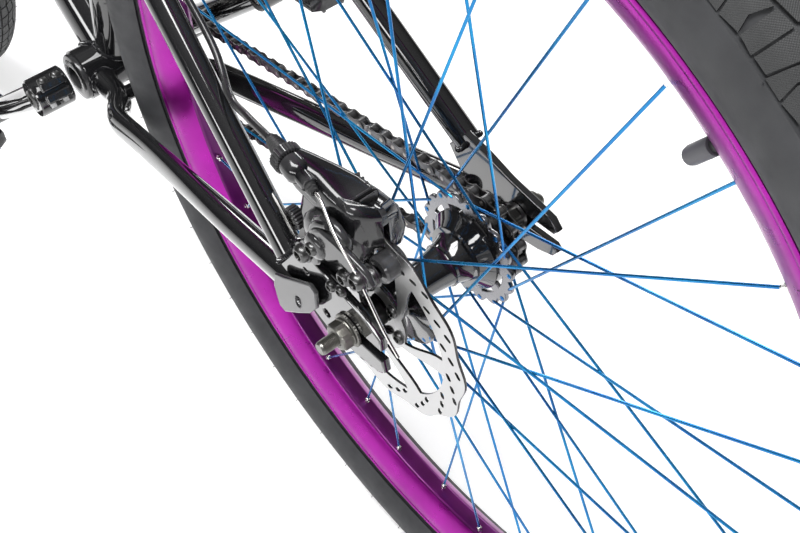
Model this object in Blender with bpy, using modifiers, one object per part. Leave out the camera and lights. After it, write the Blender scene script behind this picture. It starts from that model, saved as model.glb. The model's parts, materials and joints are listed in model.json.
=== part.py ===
"""A 29-inch BMX bicycle with a rear disc brake.

+X is forward, +Y the rider's left and +Z up, in metres. The origin is the centre of the
bottom bracket. Every separate piece of the bicycle is one object in the collection bmx_bike.
"""

from math import acos, atan2, cos, hypot, pi, radians, sin, sqrt

import bmesh
import bpy
from mathutils import Matrix, Vector

MM = 0.001
GAP = 0.3 * MM
MERGE = 0.005 * MM
WHEEL_STEPS = 48

# Wheels
TYRE_RADIUS = 370 * MM
TYRE_CENTRE_RADIUS = 340 * MM
TYRE_HALF_WIDTH = 30.5 * MM
RIM_RADIUS = 316 * MM
RIM_BED_RADIUS = 288 * MM
RIM_HALF_WIDTH = 18 * MM
SPOKES_A_SIDE = 18
SPOKE_CROSS_ANGLE = radians(60)
AXLE_RADIUS = 4.8 * MM

# Frame layout, side view (x, z)
REAR_HUB = Vector((-438.9 * MM, 0, 73.4 * MM))
WHEELBASE = 1062 * MM
FRONT_HUB = REAR_HUB + Vector((WHEELBASE, 0, 0))
SEAT_ANGLE = radians(72)
HEAD_ANGLE = radians(72)
FORK_RAKE = 45 * MM
FORK_LENGTH = 425 * MM
HEAD_TUBE_LENGTH = 115 * MM
SEAT_TUBE_LENGTH = 395 * MM
SEAT_AXIS = Vector((-cos(SEAT_ANGLE), 0, sin(SEAT_ANGLE)))
HEAD_AXIS = Vector((-cos(HEAD_ANGLE), 0, sin(HEAD_ANGLE)))
HEAD_NORMAL = Vector((sin(HEAD_ANGLE), 0, cos(HEAD_ANGLE)))

# Frame tubes
SHELL_RADIUS = 23 * MM
SHELL_HALF_LENGTH = 36.5 * MM
SEAT_TUBE_RADIUS = 15.9 * MM
DOWN_TUBE_RADIUS = 21 * MM
TOP_TUBE_RADIUS = 16 * MM
HEAD_TUBE_RADIUS = 22 * MM
CHAINSTAY_RADIUS = 10 * MM
SEATSTAY_RADIUS = 9.25 * MM
DROPOUT_CENTRE_Y = 70.5 * MM
DROPOUT_THICKNESS = 6 * MM
CHAINSTAY_START = 49 * MM
SEATSTAY_START = 56 * MM

# Fork and steering
STEERER_RADIUS = 14.3 * MM
FORK_LEG_Y = 53 * MM
CROWN = FRONT_HUB - HEAD_NORMAL * FORK_RAKE + HEAD_AXIS * sqrt(FORK_LENGTH**2 - FORK_RAKE**2)
HEAD_BOTTOM = CROWN + HEAD_AXIS * 4 * MM
HEAD_TOP = HEAD_BOTTOM + HEAD_AXIS * HEAD_TUBE_LENGTH
STEM_BASE = HEAD_TOP + HEAD_AXIS * 10 * MM
STEM_HEIGHT = 40 * MM
STEM_REACH = 53 * MM
BAR_RADIUS = 11.1 * MM
BAR_CENTRE = STEM_BASE + HEAD_AXIS * STEM_HEIGHT / 2 + HEAD_NORMAL * STEM_REACH
BAR_HALF_WIDTH = 380 * MM
BAR_RISE = 190 * MM
BACKSWEEP = radians(10)
GRIP_LENGTH = 135 * MM

# Drive
CHAIN_PITCH = 12.7 * MM
CHAINRING_TEETH = 28
COG_TEETH = 14
CHAIN_Y = -42 * MM
CRANK_LENGTH = 175 * MM
CRANK_ANGLE = radians(-34.5)
CRANK_Y = 74 * MM
PEDAL_INNER_Y = 90 * MM
PEDAL_LENGTH = 100 * MM

# Rear brake
ROTOR_RADIUS = 80 * MM
ROTOR_Y = 51.5 * MM
ROTOR_THICKNESS = 2 * MM

# Seat
SEAT_HEIGHT = 520 * MM

TOP_TUBE_REAR = SEAT_AXIS * (SEAT_TUBE_LENGTH - 35 * MM)
TOP_TUBE_FRONT = HEAD_TOP - HEAD_AXIS * 20 * MM

FINISHES = {
    "gloss_black": ((0.01, 0.01, 0.012), 0.12, 0.0),
    "black_alloy": ((0.02, 0.02, 0.022), 0.3, 0.4),
    "purple_alloy": ((0.45, 0.03, 0.42), 0.25, 0.8),
    "blue_steel": ((0.03, 0.22, 0.6), 0.25, 0.8),
    "tyre": ((0.045, 0.047, 0.05), 0.75, 0.0),
    "steel": ((0.55, 0.55, 0.54), 0.3, 1.0),
    "dark_steel": ((0.16, 0.16, 0.15), 0.4, 0.8),
    "rubber": ((0.02, 0.02, 0.02), 0.7, 0.0),
    "seat_cover": ((0.02, 0.02, 0.022), 0.6, 0.0),
    "pad_compound": ((0.2, 0.16, 0.12), 0.9, 0.0),
}


# Shared helpers


def clear_scene():
    for obj in list(bpy.data.objects):
        bpy.data.objects.remove(obj, do_unlink=True)


def new_collection(name):
    collection = bpy.data.collections.new(name)
    bpy.context.scene.collection.children.link(collection)
    return collection


def finish_material(name):
    if name in bpy.data.materials:
        return bpy.data.materials[name]
    colour, roughness, metallic = FINISHES[name]
    material = bpy.data.materials.new(name)
    material.use_nodes = True
    shader = material.node_tree.nodes["Principled BSDF"]
    shader.inputs["Base Color"].default_value = (*colour, 1)
    shader.inputs["Roughness"].default_value = roughness
    shader.inputs["Metallic"].default_value = metallic
    return material


def add_object(name, mesh, finish, matrix=None):
    """A new object of the bike, or a hidden helper when finish is None."""
    obj = bpy.data.objects.new(name, mesh)
    obj.matrix_world = matrix or Matrix()
    if finish is None:
        HELPERS.objects.link(obj)
        obj.hide_render = True
        obj.display_type = "WIRE"
    else:
        BIKE.objects.link(obj)
        mesh.materials.clear()
        mesh.materials.append(finish_material(finish))
        mesh.shade_smooth()
        mesh.set_sharp_from_angle(angle=radians(35))
    return obj


def frame_at(centre, direction):
    """A matrix whose Z points along direction, at centre."""
    turn = Vector(direction).normalized().to_track_quat("Z", "Y").to_matrix().to_4x4()
    return Matrix.Translation(centre) @ turn


def turned(name, profile, finish, centre, axis=(0, 1, 0), steps=24, closed=False):
    """A profile of (radius, height) points, from top to bottom on its outer side, turned about axis."""
    mesh = bpy.data.meshes.new(name)
    points = [(radius, 0, height) for radius, height in profile]
    edges = [(i, i + 1) for i in range(len(points) - 1)]
    if closed:
        edges.append((len(points) - 1, 0))
    mesh.from_pydata(points, edges, [])
    obj = add_object(name, mesh, finish, frame_at(centre, axis))
    screw = obj.modifiers.new("turn", "SCREW")
    screw.steps = steps
    screw.render_steps = steps
    screw.use_merge_vertices = True
    screw.merge_threshold = MERGE
    return obj


def ring(name, centre, axis, outer, inner, length, finish, steps=24):
    """A hollow cylinder centred on centre."""
    half = length / 2
    profile = [(outer, half), (outer, -half), (inner, -half), (inner, half)]
    return turned(name, profile, finish, centre, axis, steps, closed=True)


def rod(name, start, end, radius, finish, sides=16, end_radius=None):
    """A round bar from start to end, which may taper to end_radius."""
    start, end = Vector(start), Vector(end)
    solid = bmesh.new()
    bmesh.ops.create_cone(
        solid,
        cap_ends=True,
        segments=sides,
        radius1=radius,
        radius2=radius if end_radius is None else end_radius,
        depth=(end - start).length,
    )
    mesh = bpy.data.meshes.new(name)
    solid.to_mesh(mesh)
    solid.free()
    return add_object(name, mesh, finish, frame_at((start + end) / 2, end - start))


def box(name, centre, size, finish, axis=(0, 0, 1), bevel=0.0):
    """A block of the given size, whose Y stays across the bike and whose Z points along axis."""
    solid = bmesh.new()
    bmesh.ops.create_cube(solid, size=1)
    bmesh.ops.scale(solid, vec=size, verts=solid.verts)
    mesh = bpy.data.meshes.new(name)
    solid.to_mesh(mesh)
    solid.free()
    across, up = Vector((0, 1, 0)), Vector(axis).normalized()
    turn = Matrix((across.cross(up), across, up)).transposed().to_4x4()
    obj = add_object(name, mesh, finish, Matrix.Translation(centre) @ turn)
    if bevel:
        rounding = obj.modifiers.new("rounding", "BEVEL")
        rounding.width = bevel
        rounding.segments = 1
    return obj


def mesh_of_curve(name, curve, finish, matrix=None):
    """The curve as a closed mesh object; the curve itself is removed."""
    source = bpy.data.objects.new(name, curve)
    HELPERS.objects.link(source)
    if matrix:
        source.matrix_world = matrix
    bpy.context.view_layer.update()
    evaluated = source.evaluated_get(bpy.context.evaluated_depsgraph_get())
    mesh = bpy.data.meshes.new_from_object(evaluated)
    placed = source.matrix_world.copy()
    bpy.data.objects.remove(source, do_unlink=True)
    solid = bmesh.new()
    solid.from_mesh(mesh)
    bmesh.ops.remove_doubles(solid, verts=solid.verts, dist=MERGE)
    bmesh.ops.recalc_face_normals(solid, faces=solid.faces)
    solid.to_mesh(mesh)
    solid.free()
    return add_object(name, mesh, finish, placed)


def smooth_route(points, spans):
    """Points along one smooth curve through the given points, with spans pieces between neighbours."""
    points = [Vector(point) for point in points]
    padded = [points[0] * 2 - points[1], *points, points[-1] * 2 - points[-2]]
    route = []
    for a, b, c, d in zip(padded, padded[1:], padded[2:], padded[3:]):
        for i in range(spans):
            t = i / spans
            route.append(
                0.5 * (2 * b + (c - a) * t + (2 * a - 5 * b + 4 * c - d) * t**2 + (3 * b - a - 3 * c + d) * t**3)
            )
    route.append(points[-1])
    return route


def bent_tube(name, points, radius, finish, end_radius=None, resolution=3):
    """A round bar along the points, which may taper to end_radius."""
    curve = bpy.data.curves.new(name, "CURVE")
    curve.dimensions = "3D"
    curve.bevel_depth = radius
    curve.bevel_resolution = resolution
    curve.use_fill_caps = True
    spline = curve.splines.new("POLY")
    spline.points.add(len(points) - 1)
    taper = 1 if end_radius is None else end_radius / radius
    for i, point in enumerate(points):
        spline.points[i].co = (*point, 1)
        spline.points[i].radius = 1 + (taper - 1) * i / (len(points) - 1)
    return mesh_of_curve(name, curve, finish)


def plate(name, outlines, thickness, centre, finish):
    """Flat outlines in (x, z) about centre, the first the edge and the rest its holes, lying in the XZ plane."""
    curve = bpy.data.curves.new(name, "CURVE")
    curve.dimensions = "2D"
    curve.fill_mode = "BOTH"
    curve.extrude = thickness / 2
    for outline in outlines:
        spline = curve.splines.new("POLY")
        spline.points.add(len(outline) - 1)
        for i, (x, z) in enumerate(outline):
            spline.points[i].co = (x, z, 0, 1)
        spline.use_cyclic_u = True
    upright = Matrix.Translation(centre) @ Matrix.Rotation(pi / 2, 4, "X")
    return mesh_of_curve(name, curve, finish, upright)


def arc(centre, radius, start, end, steps):
    """Points on a circle in the plate's plane, from the angle start to end."""
    angles = [start + (end - start) * i / steps for i in range(steps + 1)]
    return [(centre[0] + radius * cos(a), centre[1] + radius * sin(a)) for a in angles]


def circle(centre, radius, steps):
    return arc(centre, radius, 0, 2 * pi * (1 - 1 / steps), steps - 1)


def boolean(obj, other, operation):
    modifier = obj.modifiers.new(operation.lower(), "BOOLEAN")
    modifier.operation = operation
    modifier.solver = "EXACT"
    modifier.object = other


def cut_round(obj, start, end, radius):
    """Cuts a cylinder from start to end out of obj."""
    boolean(obj, rod(obj.name + "_cutter", start, end, radius, None, sides=24), "DIFFERENCE")


def weld(obj, *others):
    """Joins hidden helper shapes to obj, as one body."""
    for other in others:
        boolean(obj, other, "UNION")


def near_hub(x, y, z):
    """A point given in millimetres from the rear axle's centre."""
    return REAR_HUB + Vector((x, y, z)) * MM


def chainstay_point(distance):
    """The left chainstay's centre line, at a distance forward of the rear axle."""
    return REAR_HUB + Vector((distance, 73.1 * MM - 0.0748 * distance, -0.1876 * distance))


def seatstay_point(distance):
    """The left seatstay's centre line, at a distance forward of the rear axle."""
    ahead = distance - 20.5 * MM
    return REAR_HUB + Vector((distance, 77.8 * MM - 0.1189 * ahead, 0.9079 * ahead - 3 * MM))


def on_both_sides(points, side):
    return [Vector((x, y * side, z)) for x, y, z in points]


# Frame


def cut_head_tube(obj):
    reach = HEAD_AXIS * 30 * MM
    cut_round(obj, HEAD_BOTTOM - reach, HEAD_TOP + reach, HEAD_TUBE_RADIUS + GAP)


def cut_seat_tube(obj):
    cut_round(obj, -SEAT_AXIS * 30 * MM, SEAT_AXIS * (SEAT_TUBE_LENGTH + 30 * MM), SEAT_TUBE_RADIUS + GAP)


def cut_shell(obj):
    reach = Vector((0, SHELL_HALF_LENGTH * 2, 0))
    cut_round(obj, -reach, reach, SHELL_RADIUS + GAP)


def main_tubes():
    ring(
        "bottom_bracket_shell", (0, 0, 0), (0, 1, 0),
        SHELL_RADIUS, 19 * MM, SHELL_HALF_LENGTH * 2, "gloss_black", 32,
    )
    ring(
        "head_tube", (HEAD_BOTTOM + HEAD_TOP) / 2, HEAD_AXIS,
        HEAD_TUBE_RADIUS, 19.1 * MM, HEAD_TUBE_LENGTH, "gloss_black", 32,
    )
    down_end = HEAD_BOTTOM + HEAD_AXIS * 46 * MM
    down_tube = rod("down_tube", (0, 0, 0), down_end, DOWN_TUBE_RADIUS, "gloss_black", 24)
    cut_shell(down_tube)
    cut_head_tube(down_tube)

    seat_tube = ring(
        "seat_tube", SEAT_AXIS * (SEAT_TUBE_LENGTH + 10 * MM) / 2, SEAT_AXIS,
        SEAT_TUBE_RADIUS, 14 * MM, SEAT_TUBE_LENGTH - 10 * MM, "gloss_black", 24,
    )
    cut_shell(seat_tube)
    cut_round(seat_tube, (0, 0, 0), down_end, DOWN_TUBE_RADIUS + GAP)

    top_tube = rod(
        "top_tube", TOP_TUBE_REAR, TOP_TUBE_FRONT,
        TOP_TUBE_RADIUS, "gloss_black", 24,
    )
    cut_head_tube(top_tube)
    cut_seat_tube(top_tube)


def stays(side, word):
    """The two stays of one side. Each leaves its dropout straight and bends in where it clears the tyre."""
    chainstay = [chainstay_point(CHAINSTAY_START), chainstay_point(200 * MM), chainstay_point(348 * MM)]
    chainstay += [Vector(point) * MM for point in ((-77, 42, 5), (-64, 32, 3), (-50, 27, 1), (-8, 24, 0))]
    tube = bent_tube(f"chainstay_{word}", on_both_sides(chainstay, side), CHAINSTAY_RADIUS, "gloss_black", 11 * MM, 6)
    cut_shell(tube)
    if side < 0:
        cut_round(tube, (0, CHAIN_Y + 3 * MM, 0), (0, CHAIN_Y - 20 * MM, 0), 63 * MM)

    seatstay = [seatstay_point(SEATSTAY_START), seatstay_point(180 * MM), seatstay_point(295 * MM)]
    seatstay += [Vector(point) * MM for point in ((-123, 33, 335), (-113, 12, 345))]
    tube = bent_tube(f"seatstay_{word}", on_both_sides(seatstay, side), SEATSTAY_RADIUS, "gloss_black", None, 6)
    cut_seat_tube(tube)
    cut_round(tube, TOP_TUBE_REAR, TOP_TUBE_FRONT, TOP_TUBE_RADIUS + GAP)


def lug(point_at, start, half):
    """The two corners of a dropout where a stay starts, just short of the stay."""
    end = point_at(start) - REAR_HUB
    ahead = point_at(start + 10 * MM) - point_at(start)
    length = hypot(ahead.x, ahead.z)
    back = Vector((ahead.x, 0, ahead.z)) / length
    across = Vector((-back.z, 0, back.x)) * half
    end -= back * 1.6 * MM
    return [(end.x - across.x, end.z - across.z), (end.x + across.x, end.z + across.z)]


def dropout_outline():
    """A dropout plate around the axle: an axle slot open to the rear, and a lug for each stay."""
    slot = 5.2 * MM
    tail = -30 * MM
    outline = [(tail, 17 * MM), (tail, slot)]
    outline += arc((0, 0), slot, pi / 2, -pi / 2, 8)
    outline += [(tail, -slot), (tail, -17 * MM), (-6 * MM, -21 * MM), (20 * MM, -23 * MM)]
    outline += lug(chainstay_point, CHAINSTAY_START, 9.5 * MM)
    outline.append((55 * MM, 12 * MM))
    outline += lug(seatstay_point, SEATSTAY_START, 9 * MM)
    outline += [(30 * MM, 33 * MM), (8 * MM, 26 * MM), (-14 * MM, 22 * MM)]
    return outline


def dropouts():
    for side, word in ((1, "left"), (-1, "right")):
        centre = REAR_HUB + Vector((0, side * DROPOUT_CENTRE_Y, 0))
        plate(f"dropout_{word}", [dropout_outline()], DROPOUT_THICKNESS, centre, "gloss_black")


def bearings():
    for side, word in ((1, "left"), (-1, "right")):
        centre = (0, side * (SHELL_HALF_LENGTH - 5 * MM), 0)
        ring(f"bottom_bracket_bearing_{word}", centre, (0, 1, 0), 18.7 * MM, 9.9 * MM, 8 * MM, "steel", 20)
    for end, along_axis, word in ((HEAD_BOTTOM, 5 * MM, "lower"), (HEAD_TOP, -5 * MM, "upper")):
        ring(
            f"headset_bearing_{word}", end + HEAD_AXIS * along_axis, HEAD_AXIS,
            18.8 * MM, STEERER_RADIUS + GAP, 7 * MM, "steel", 20,
        )


# Seat


def seat():
    clamp = ring(
        "seat_clamp", SEAT_AXIS * (SEAT_TUBE_LENGTH - 4 * MM), SEAT_AXIS,
        20 * MM, SEAT_TUBE_RADIUS + GAP, 14 * MM, "black_alloy", 20,
    )
    weld(clamp, box("seat_clamp_lug", SEAT_AXIS * (SEAT_TUBE_LENGTH - 4 * MM) + Vector((-22 * MM, 0, -7 * MM)),
                    (8 * MM, 16 * MM, 12 * MM), None, SEAT_AXIS))
    cut_round(clamp, SEAT_AXIS * (SEAT_TUBE_LENGTH - 40 * MM), SEAT_AXIS * SEAT_HEIGHT, SEAT_TUBE_RADIUS + GAP)
    top = SEAT_AXIS * (SEAT_HEIGHT - 52.5 * MM)
    rod("seat_post", SEAT_AXIS * (SEAT_TUBE_LENGTH - 110 * MM), top, 13.6 * MM, "gloss_black", 20)

    rail_z = SEAT_AXIS.z * SEAT_HEIGHT - 28 * MM
    seat_x = SEAT_AXIS.x * SEAT_HEIGHT
    base = plate("seat_base", [seat_outline(118 * MM, 1)], 8 * MM, (0, 0, 0), "black_alloy")
    base.matrix_world = Matrix.Translation((seat_x, 0, rail_z + 12 * MM))
    weld(base, box("seat_clamp_block", (seat_x + 2 * MM, 0, rail_z - 4 * MM), (40 * MM, 30 * MM, 26 * MM), None))
    for side in (1, -1):
        route = smooth_route(
            [(seat_x + 105 * MM, side * 12 * MM, rail_z + 10 * MM), (seat_x + 60 * MM, side * 21 * MM, rail_z - 6 * MM),
             (seat_x - 40 * MM, side * 21 * MM, rail_z - 6 * MM), (seat_x - 95 * MM, side * 30 * MM, rail_z + 10 * MM)], 4)
        weld(base, bent_tube(f"seat_rail_{side}", route, 3.5 * MM, None))

    pad = plate("seat_pad", [seat_outline(122 * MM, 1.05)], 26 * MM, (0, 0, 0), "seat_cover")
    pad.matrix_world = Matrix.Translation((seat_x, 0, rail_z + 12 * MM + 17 * MM + GAP))


def seat_outline(length, scale):
    """Half the saddle's width at stations along it, from the nose to the tail, mirrored across X."""
    stations = ((1, 14), (0.8, 21), (0.4, 25), (0, 33), (-0.45, 58), (-0.8, 66), (-0.98, 52))
    half = [(length * t, width * scale * MM) for t, width in stations]
    return half + [(x, -y) for x, y in reversed(half)]


# Steering


def fork():
    ring(
        "fork_steerer", (CROWN + STEM_BASE + HEAD_AXIS * STEM_HEIGHT) / 2, HEAD_AXIS,
        STEERER_RADIUS, 12.3 * MM, (STEM_BASE + HEAD_AXIS * STEM_HEIGHT - CROWN).length, "gloss_black", 20,
    )
    for side, word in ((1, "left"), (-1, "right")):
        shoulder = CROWN - HEAD_AXIS * 16 * MM
        route = [
            shoulder + Vector((0, 1 * MM, 0)),
            shoulder + Vector((0, 24 * MM, 0)),
            shoulder - HEAD_AXIS * 9 * MM + Vector((0, 43 * MM, 0)),
            shoulder - HEAD_AXIS * 34 * MM + Vector((3 * MM, 52 * MM, 0)),
            FRONT_HUB + Vector((-8 * MM, FORK_LEG_Y, 24 * MM)),
        ]
        leg = bent_tube(
            f"fork_leg_{word}", smooth_route(on_both_sides(route, side), 3), 15 * MM, "gloss_black", 10.5 * MM, 4,
        )
        plate_centre = FRONT_HUB + Vector((0, side * FORK_LEG_Y, 0))
        weld(leg, plate(f"fork_dropout_{word}", [fork_dropout_outline()], 6 * MM, plate_centre, None))


def fork_dropout_outline():
    """A plate round the front axle, with a slot open downwards."""
    slot = 5.2 * MM
    outline = [(-slot, -20 * MM), *arc((0, 0), slot, pi, 0, 6), (slot, -20 * MM)]
    return outline + [(15 * MM, -14 * MM), (14 * MM, 12 * MM), (0, 36 * MM), (-18 * MM, 36 * MM), (-15 * MM, -14 * MM)]


def stem_and_bars():
    stem = ring(
        "stem", STEM_BASE + HEAD_AXIS * STEM_HEIGHT / 2, HEAD_AXIS,
        20 * MM, STEERER_RADIUS + GAP, STEM_HEIGHT - 1 * MM, "black_alloy", 24,
    )
    body_centre = STEM_BASE + HEAD_AXIS * STEM_HEIGHT / 2 + HEAD_NORMAL * 36 * MM
    body = box("stem_body", body_centre, (46 * MM, 46 * MM, STEM_HEIGHT - 4 * MM), None, HEAD_AXIS)
    cap = box("stem_cap", BAR_CENTRE + HEAD_NORMAL * 9 * MM, (12 * MM, 46 * MM, STEM_HEIGHT - 4 * MM), None, HEAD_AXIS)
    weld(stem, body, cap)
    side = Vector((0, 40 * MM, 0))
    cut_round(stem, BAR_CENTRE - side, BAR_CENTRE + side, BAR_RADIUS + GAP)
    reach = HEAD_AXIS * 20 * MM
    cut_round(stem, STEM_BASE - reach, STEM_BASE + HEAD_AXIS * STEM_HEIGHT + reach, STEERER_RADIUS + GAP)

    bent_tube("handlebar", handlebar_route(), BAR_RADIUS, "gloss_black", None, 3)
    crossbar = rod(
        "handlebar_crossbar", bar_upright(0.66, -1), bar_upright(0.66, 1), 8 * MM, "gloss_black", 12,
    )
    for word in (1, -1):
        cut_round(crossbar, bar_upright(0.4, word), bar_upright(0.9, word), BAR_RADIUS + GAP)
    for side, word in ((1, "left"), (-1, "right")):
        inner, outer = bar_end(side, GRIP_LENGTH), bar_end(side, 0)
        direction = (outer - inner).normalized()
        ring(
            f"grip_{word}", inner + direction * (GRIP_LENGTH / 2 + 1 * MM), direction,
            16.5 * MM, BAR_RADIUS + GAP, GRIP_LENGTH + 2 * MM, "rubber", 16,
        )


def bar_upright(fraction, side):
    """A point on the handlebar's slanting upright, from its foot (0) to its top (1)."""
    foot = BAR_CENTRE + Vector((0, 45 * MM, 8 * MM))
    top = BAR_CENTRE + Vector((-20 * MM, 165 * MM, BAR_RISE - 18 * MM))
    point = foot.lerp(top, fraction)
    return Vector((point.x, point.y * side, point.z))


def bar_end(side, back_from_end):
    """A point on the grip section, measured back from the end of the bar."""
    end = BAR_CENTRE + Vector((-24 * MM - 205 * MM * sin(BACKSWEEP), BAR_HALF_WIDTH, BAR_RISE))
    point = end - Vector((-sin(BACKSWEEP), cos(BACKSWEEP), 0)) * back_from_end
    return Vector((point.x, point.y * side, point.z))


def handlebar_route():
    half = [
        BAR_CENTRE + Vector((0, 24 * MM, 0)),
        BAR_CENTRE + Vector((0, 37 * MM, 2 * MM)),
        bar_upright(0.06, 1),
        bar_upright(0.94, 1),
        bar_end(1, 206 * MM) - Vector((0, 0, 3 * MM)),
        bar_end(1, 190 * MM),
        bar_end(1, 0),
    ]
    return [Vector((p.x, -p.y, p.z)) for p in reversed(half)] + half


LEVER_BACK = 178 * MM
LEVER_PIVOT = bar_end(-1, LEVER_BACK) + Vector((30 * MM, 0, -4 * MM))


def brake_lever():
    """The rear brake's lever, on the right of the handlebar."""
    clamp_at = bar_end(-1, LEVER_BACK)
    bar_direction = (bar_end(-1, 0) - bar_end(-1, GRIP_LENGTH)).normalized()
    bracket = ring(
        "brake_lever_bracket", clamp_at, bar_direction, 16 * MM, BAR_RADIUS + GAP, 14 * MM, "black_alloy", 20,
    )
    weld(bracket, box("lever_yoke", clamp_at + Vector((21 * MM, 0, -2 * MM)), (22 * MM, 16 * MM, 14 * MM), None))
    cut_round(bracket, clamp_at - bar_direction * 30 * MM, clamp_at + bar_direction * 30 * MM, BAR_RADIUS + GAP)
    pivot = LEVER_PIVOT + Vector((4 * MM, 0, 0))
    route = smooth_route(
        [pivot, pivot + Vector((10 * MM, -18 * MM, -1 * MM)), pivot + Vector((2 * MM, -50 * MM, -4 * MM)),
         pivot + Vector((-3 * MM, -88 * MM, -6 * MM))], 4)
    bent_tube("brake_lever", [point + Vector((3 * MM, 0, 0)) for point in route], 5 * MM, "black_alloy", 4 * MM)


# Wheels


def tyre(word, hub):
    """A hollow tyre, open between its beads. The bead seat is inside the rim's walls."""
    outer = [(370, 0), (367.6, 12), (356.5, 26), (342, 30.5), (328, 27.5), (318.5, 16), (312.5, 12.7)]
    inner = [(312.5, 10), (341, 26.8), (362, 13)]
    left = [(r * MM, y * MM) for r, y in outer + inner]
    right = [(r, -y) for r, y in reversed(left) if y]
    return turned(f"{word}_tyre", left[::-1] + right[::-1], "tyre", hub, steps=WHEEL_STEPS, closed=True)


def rim(word, hub):
    """A deep rim: two walls that close in to a narrow bed, open under the tyre."""
    wall = [(316, 18), (288, 4.6)]
    inside = [(291.5, 2.4), (316, 15.4)]
    profile = [(r * MM, y * MM) for r, y in wall] + [(r * MM, -y * MM) for r, y in reversed(wall)]
    profile += [(r * MM, -y * MM) for r, y in reversed(inside)] + [(r * MM, y * MM) for r, y in inside]
    return turned(f"{word}_rim", profile[::-1], "purple_alloy", hub, steps=WHEEL_STEPS, closed=True)


def spoke_set(word, side_word, hub, flange_y, flange_radius, rim_y, turn):
    """One side's spokes, joined where the leading and trailing ones cross."""
    sets = []
    for lean, radius in ((1, 1.05 * MM), (-1, 0.95 * MM)):
        solid = bmesh.new()
        for i in range(SPOKES_A_SIDE // 2):
            hub_angle = turn + i * 4 * pi / SPOKES_A_SIDE + (lean < 0) * 2 * pi / SPOKES_A_SIDE
            rim_angle = hub_angle + lean * SPOKE_CROSS_ANGLE
            start = Vector((flange_radius * cos(hub_angle), flange_y, flange_radius * sin(hub_angle)))
            end = Vector(((RIM_BED_RADIUS - GAP - 2 * MM) * cos(rim_angle), rim_y, (RIM_BED_RADIUS - GAP - 2 * MM) * sin(rim_angle)))
            spoke = bmesh.ops.create_cone(
                solid, cap_ends=True, segments=4, radius1=radius, radius2=radius, depth=(end - start).length,
            )
            bmesh.ops.transform(solid, matrix=frame_at((start + end) / 2, end - start), verts=spoke["verts"])
        mesh = bpy.data.meshes.new(f"{word}_spokes")
        solid.to_mesh(mesh)
        solid.free()
        sets.append(mesh)
    leading = add_object(f"{word}_spokes_{side_word}", sets[0], "blue_steel", Matrix.Translation(hub))
    weld(leading, add_object(f"{word}_{side_word}_trailing", sets[1], None, Matrix.Translation(hub)))


def hub_profile(half):
    """The shell's outline from (radius, y) points, closed along a bore that clears the axle."""
    bore = AXLE_RADIUS + GAP
    points = [(r * MM, y * MM) for r, y in half]
    return [(bore, points[0][1]), *points, (bore, points[-1][1])]


def rear_wheel():
    hub = REAR_HUB
    tyre("rear", hub)
    rim("rear", hub)
    shell = [
        (22, 50.2), (22, 46), (15, 44), (15, 36.5), (31, 35.5), (31, 32.5), (15.5, 31), (17, 6),
        (25, -14), (26, -21.5), (38, -22.5), (38, -26), (19, -27), (19, -36.5),
    ]
    turned("rear_hub", hub_profile(shell), "gloss_black", hub, closed=True)
    spoke_set("rear", "left", hub, 34 * MM, 32 * MM, 2.2 * MM, radians(3))
    spoke_set("rear", "right", hub, -24.2 * MM, 39 * MM, -2.2 * MM, radians(13))
    rotor()

    axle = rod("rear_axle", near_hub(0, -89, 0), near_hub(0, 97, 0), AXLE_RADIUS, "dark_steel")
    for inner_y, outer_y in ((50.8, 67.2), (-48, -67.2)):
        weld(axle, rod("axle_spacer", near_hub(0, inner_y, 0), near_hub(0, outer_y, 0), 10 * MM, None))
    for side, word in ((1, "left"), (-1, "right")):
        nut_y = side * (DROPOUT_CENTRE_Y + DROPOUT_THICKNESS / 2 + GAP)
        nut = ring(
            f"rear_axle_nut_{word}", hub + Vector((0, nut_y + side * 1.2 * MM, 0)), (0, 1, 0),
            12 * MM, AXLE_RADIUS + GAP, 2.4 * MM, "dark_steel", 20,
        )
        weld(nut, ring(f"nut_hex_{word}", hub + Vector((0, nut_y + side * 6.4 * MM, 0)), (0, 1, 0),
                       9.8 * MM, 6 * MM, 9 * MM, None, 6))


def rotor():
    """A brake disc: a slotted ring on six swept arms."""
    outlines = [circle((0, 0), ROTOR_RADIUS, 48), circle((0, 0), 15.5 * MM, 16)]
    for i in range(6):
        start = i * pi / 3
        window = arc((0, 0), 63 * MM, start + 0.16, start + 0.89, 5)
        window += arc((0, 0), 27 * MM, start + 0.62, start + 0.02, 3)
        outlines.append(window)
    centre = REAR_HUB + Vector((0, ROTOR_Y, 0))
    plate("brake_rotor", outlines, ROTOR_THICKNESS, centre, "steel")


def front_wheel():
    hub = FRONT_HUB
    tyre("front", hub)
    rim("front", hub)
    shell = [(10, 47.5), (10, 36), (24, 35), (24, 32), (13, 29), (13, -29), (24, -32), (24, -35), (10, -36), (10, -47.5)]
    turned("front_hub", hub_profile(shell), "gloss_black", hub, steps=24, closed=True)
    for side, side_word in ((1, "left"), (-1, "right")):
        spoke_set("front", side_word, hub, side * 33.5 * MM, 25 * MM, side * 2.2 * MM, radians(8 - 5 * side))
    axle = rod("front_axle", hub + Vector((0, -74 * MM, 0)), hub + Vector((0, 74 * MM, 0)), AXLE_RADIUS, "dark_steel", 16)
    for side in (1, -1):
        nut_at = hub + Vector((0, side * (FORK_LEG_Y + 3 * MM + GAP + 5 * MM), 0))
        weld(axle, rod(f"front_nut_{side}", nut_at - Vector((0, 5 * MM, 0)), nut_at + Vector((0, 5 * MM, 0)), 9.8 * MM, None, 6))


# Drive


def pitch_radius(teeth):
    return CHAIN_PITCH / (2 * sin(pi / teeth))


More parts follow.
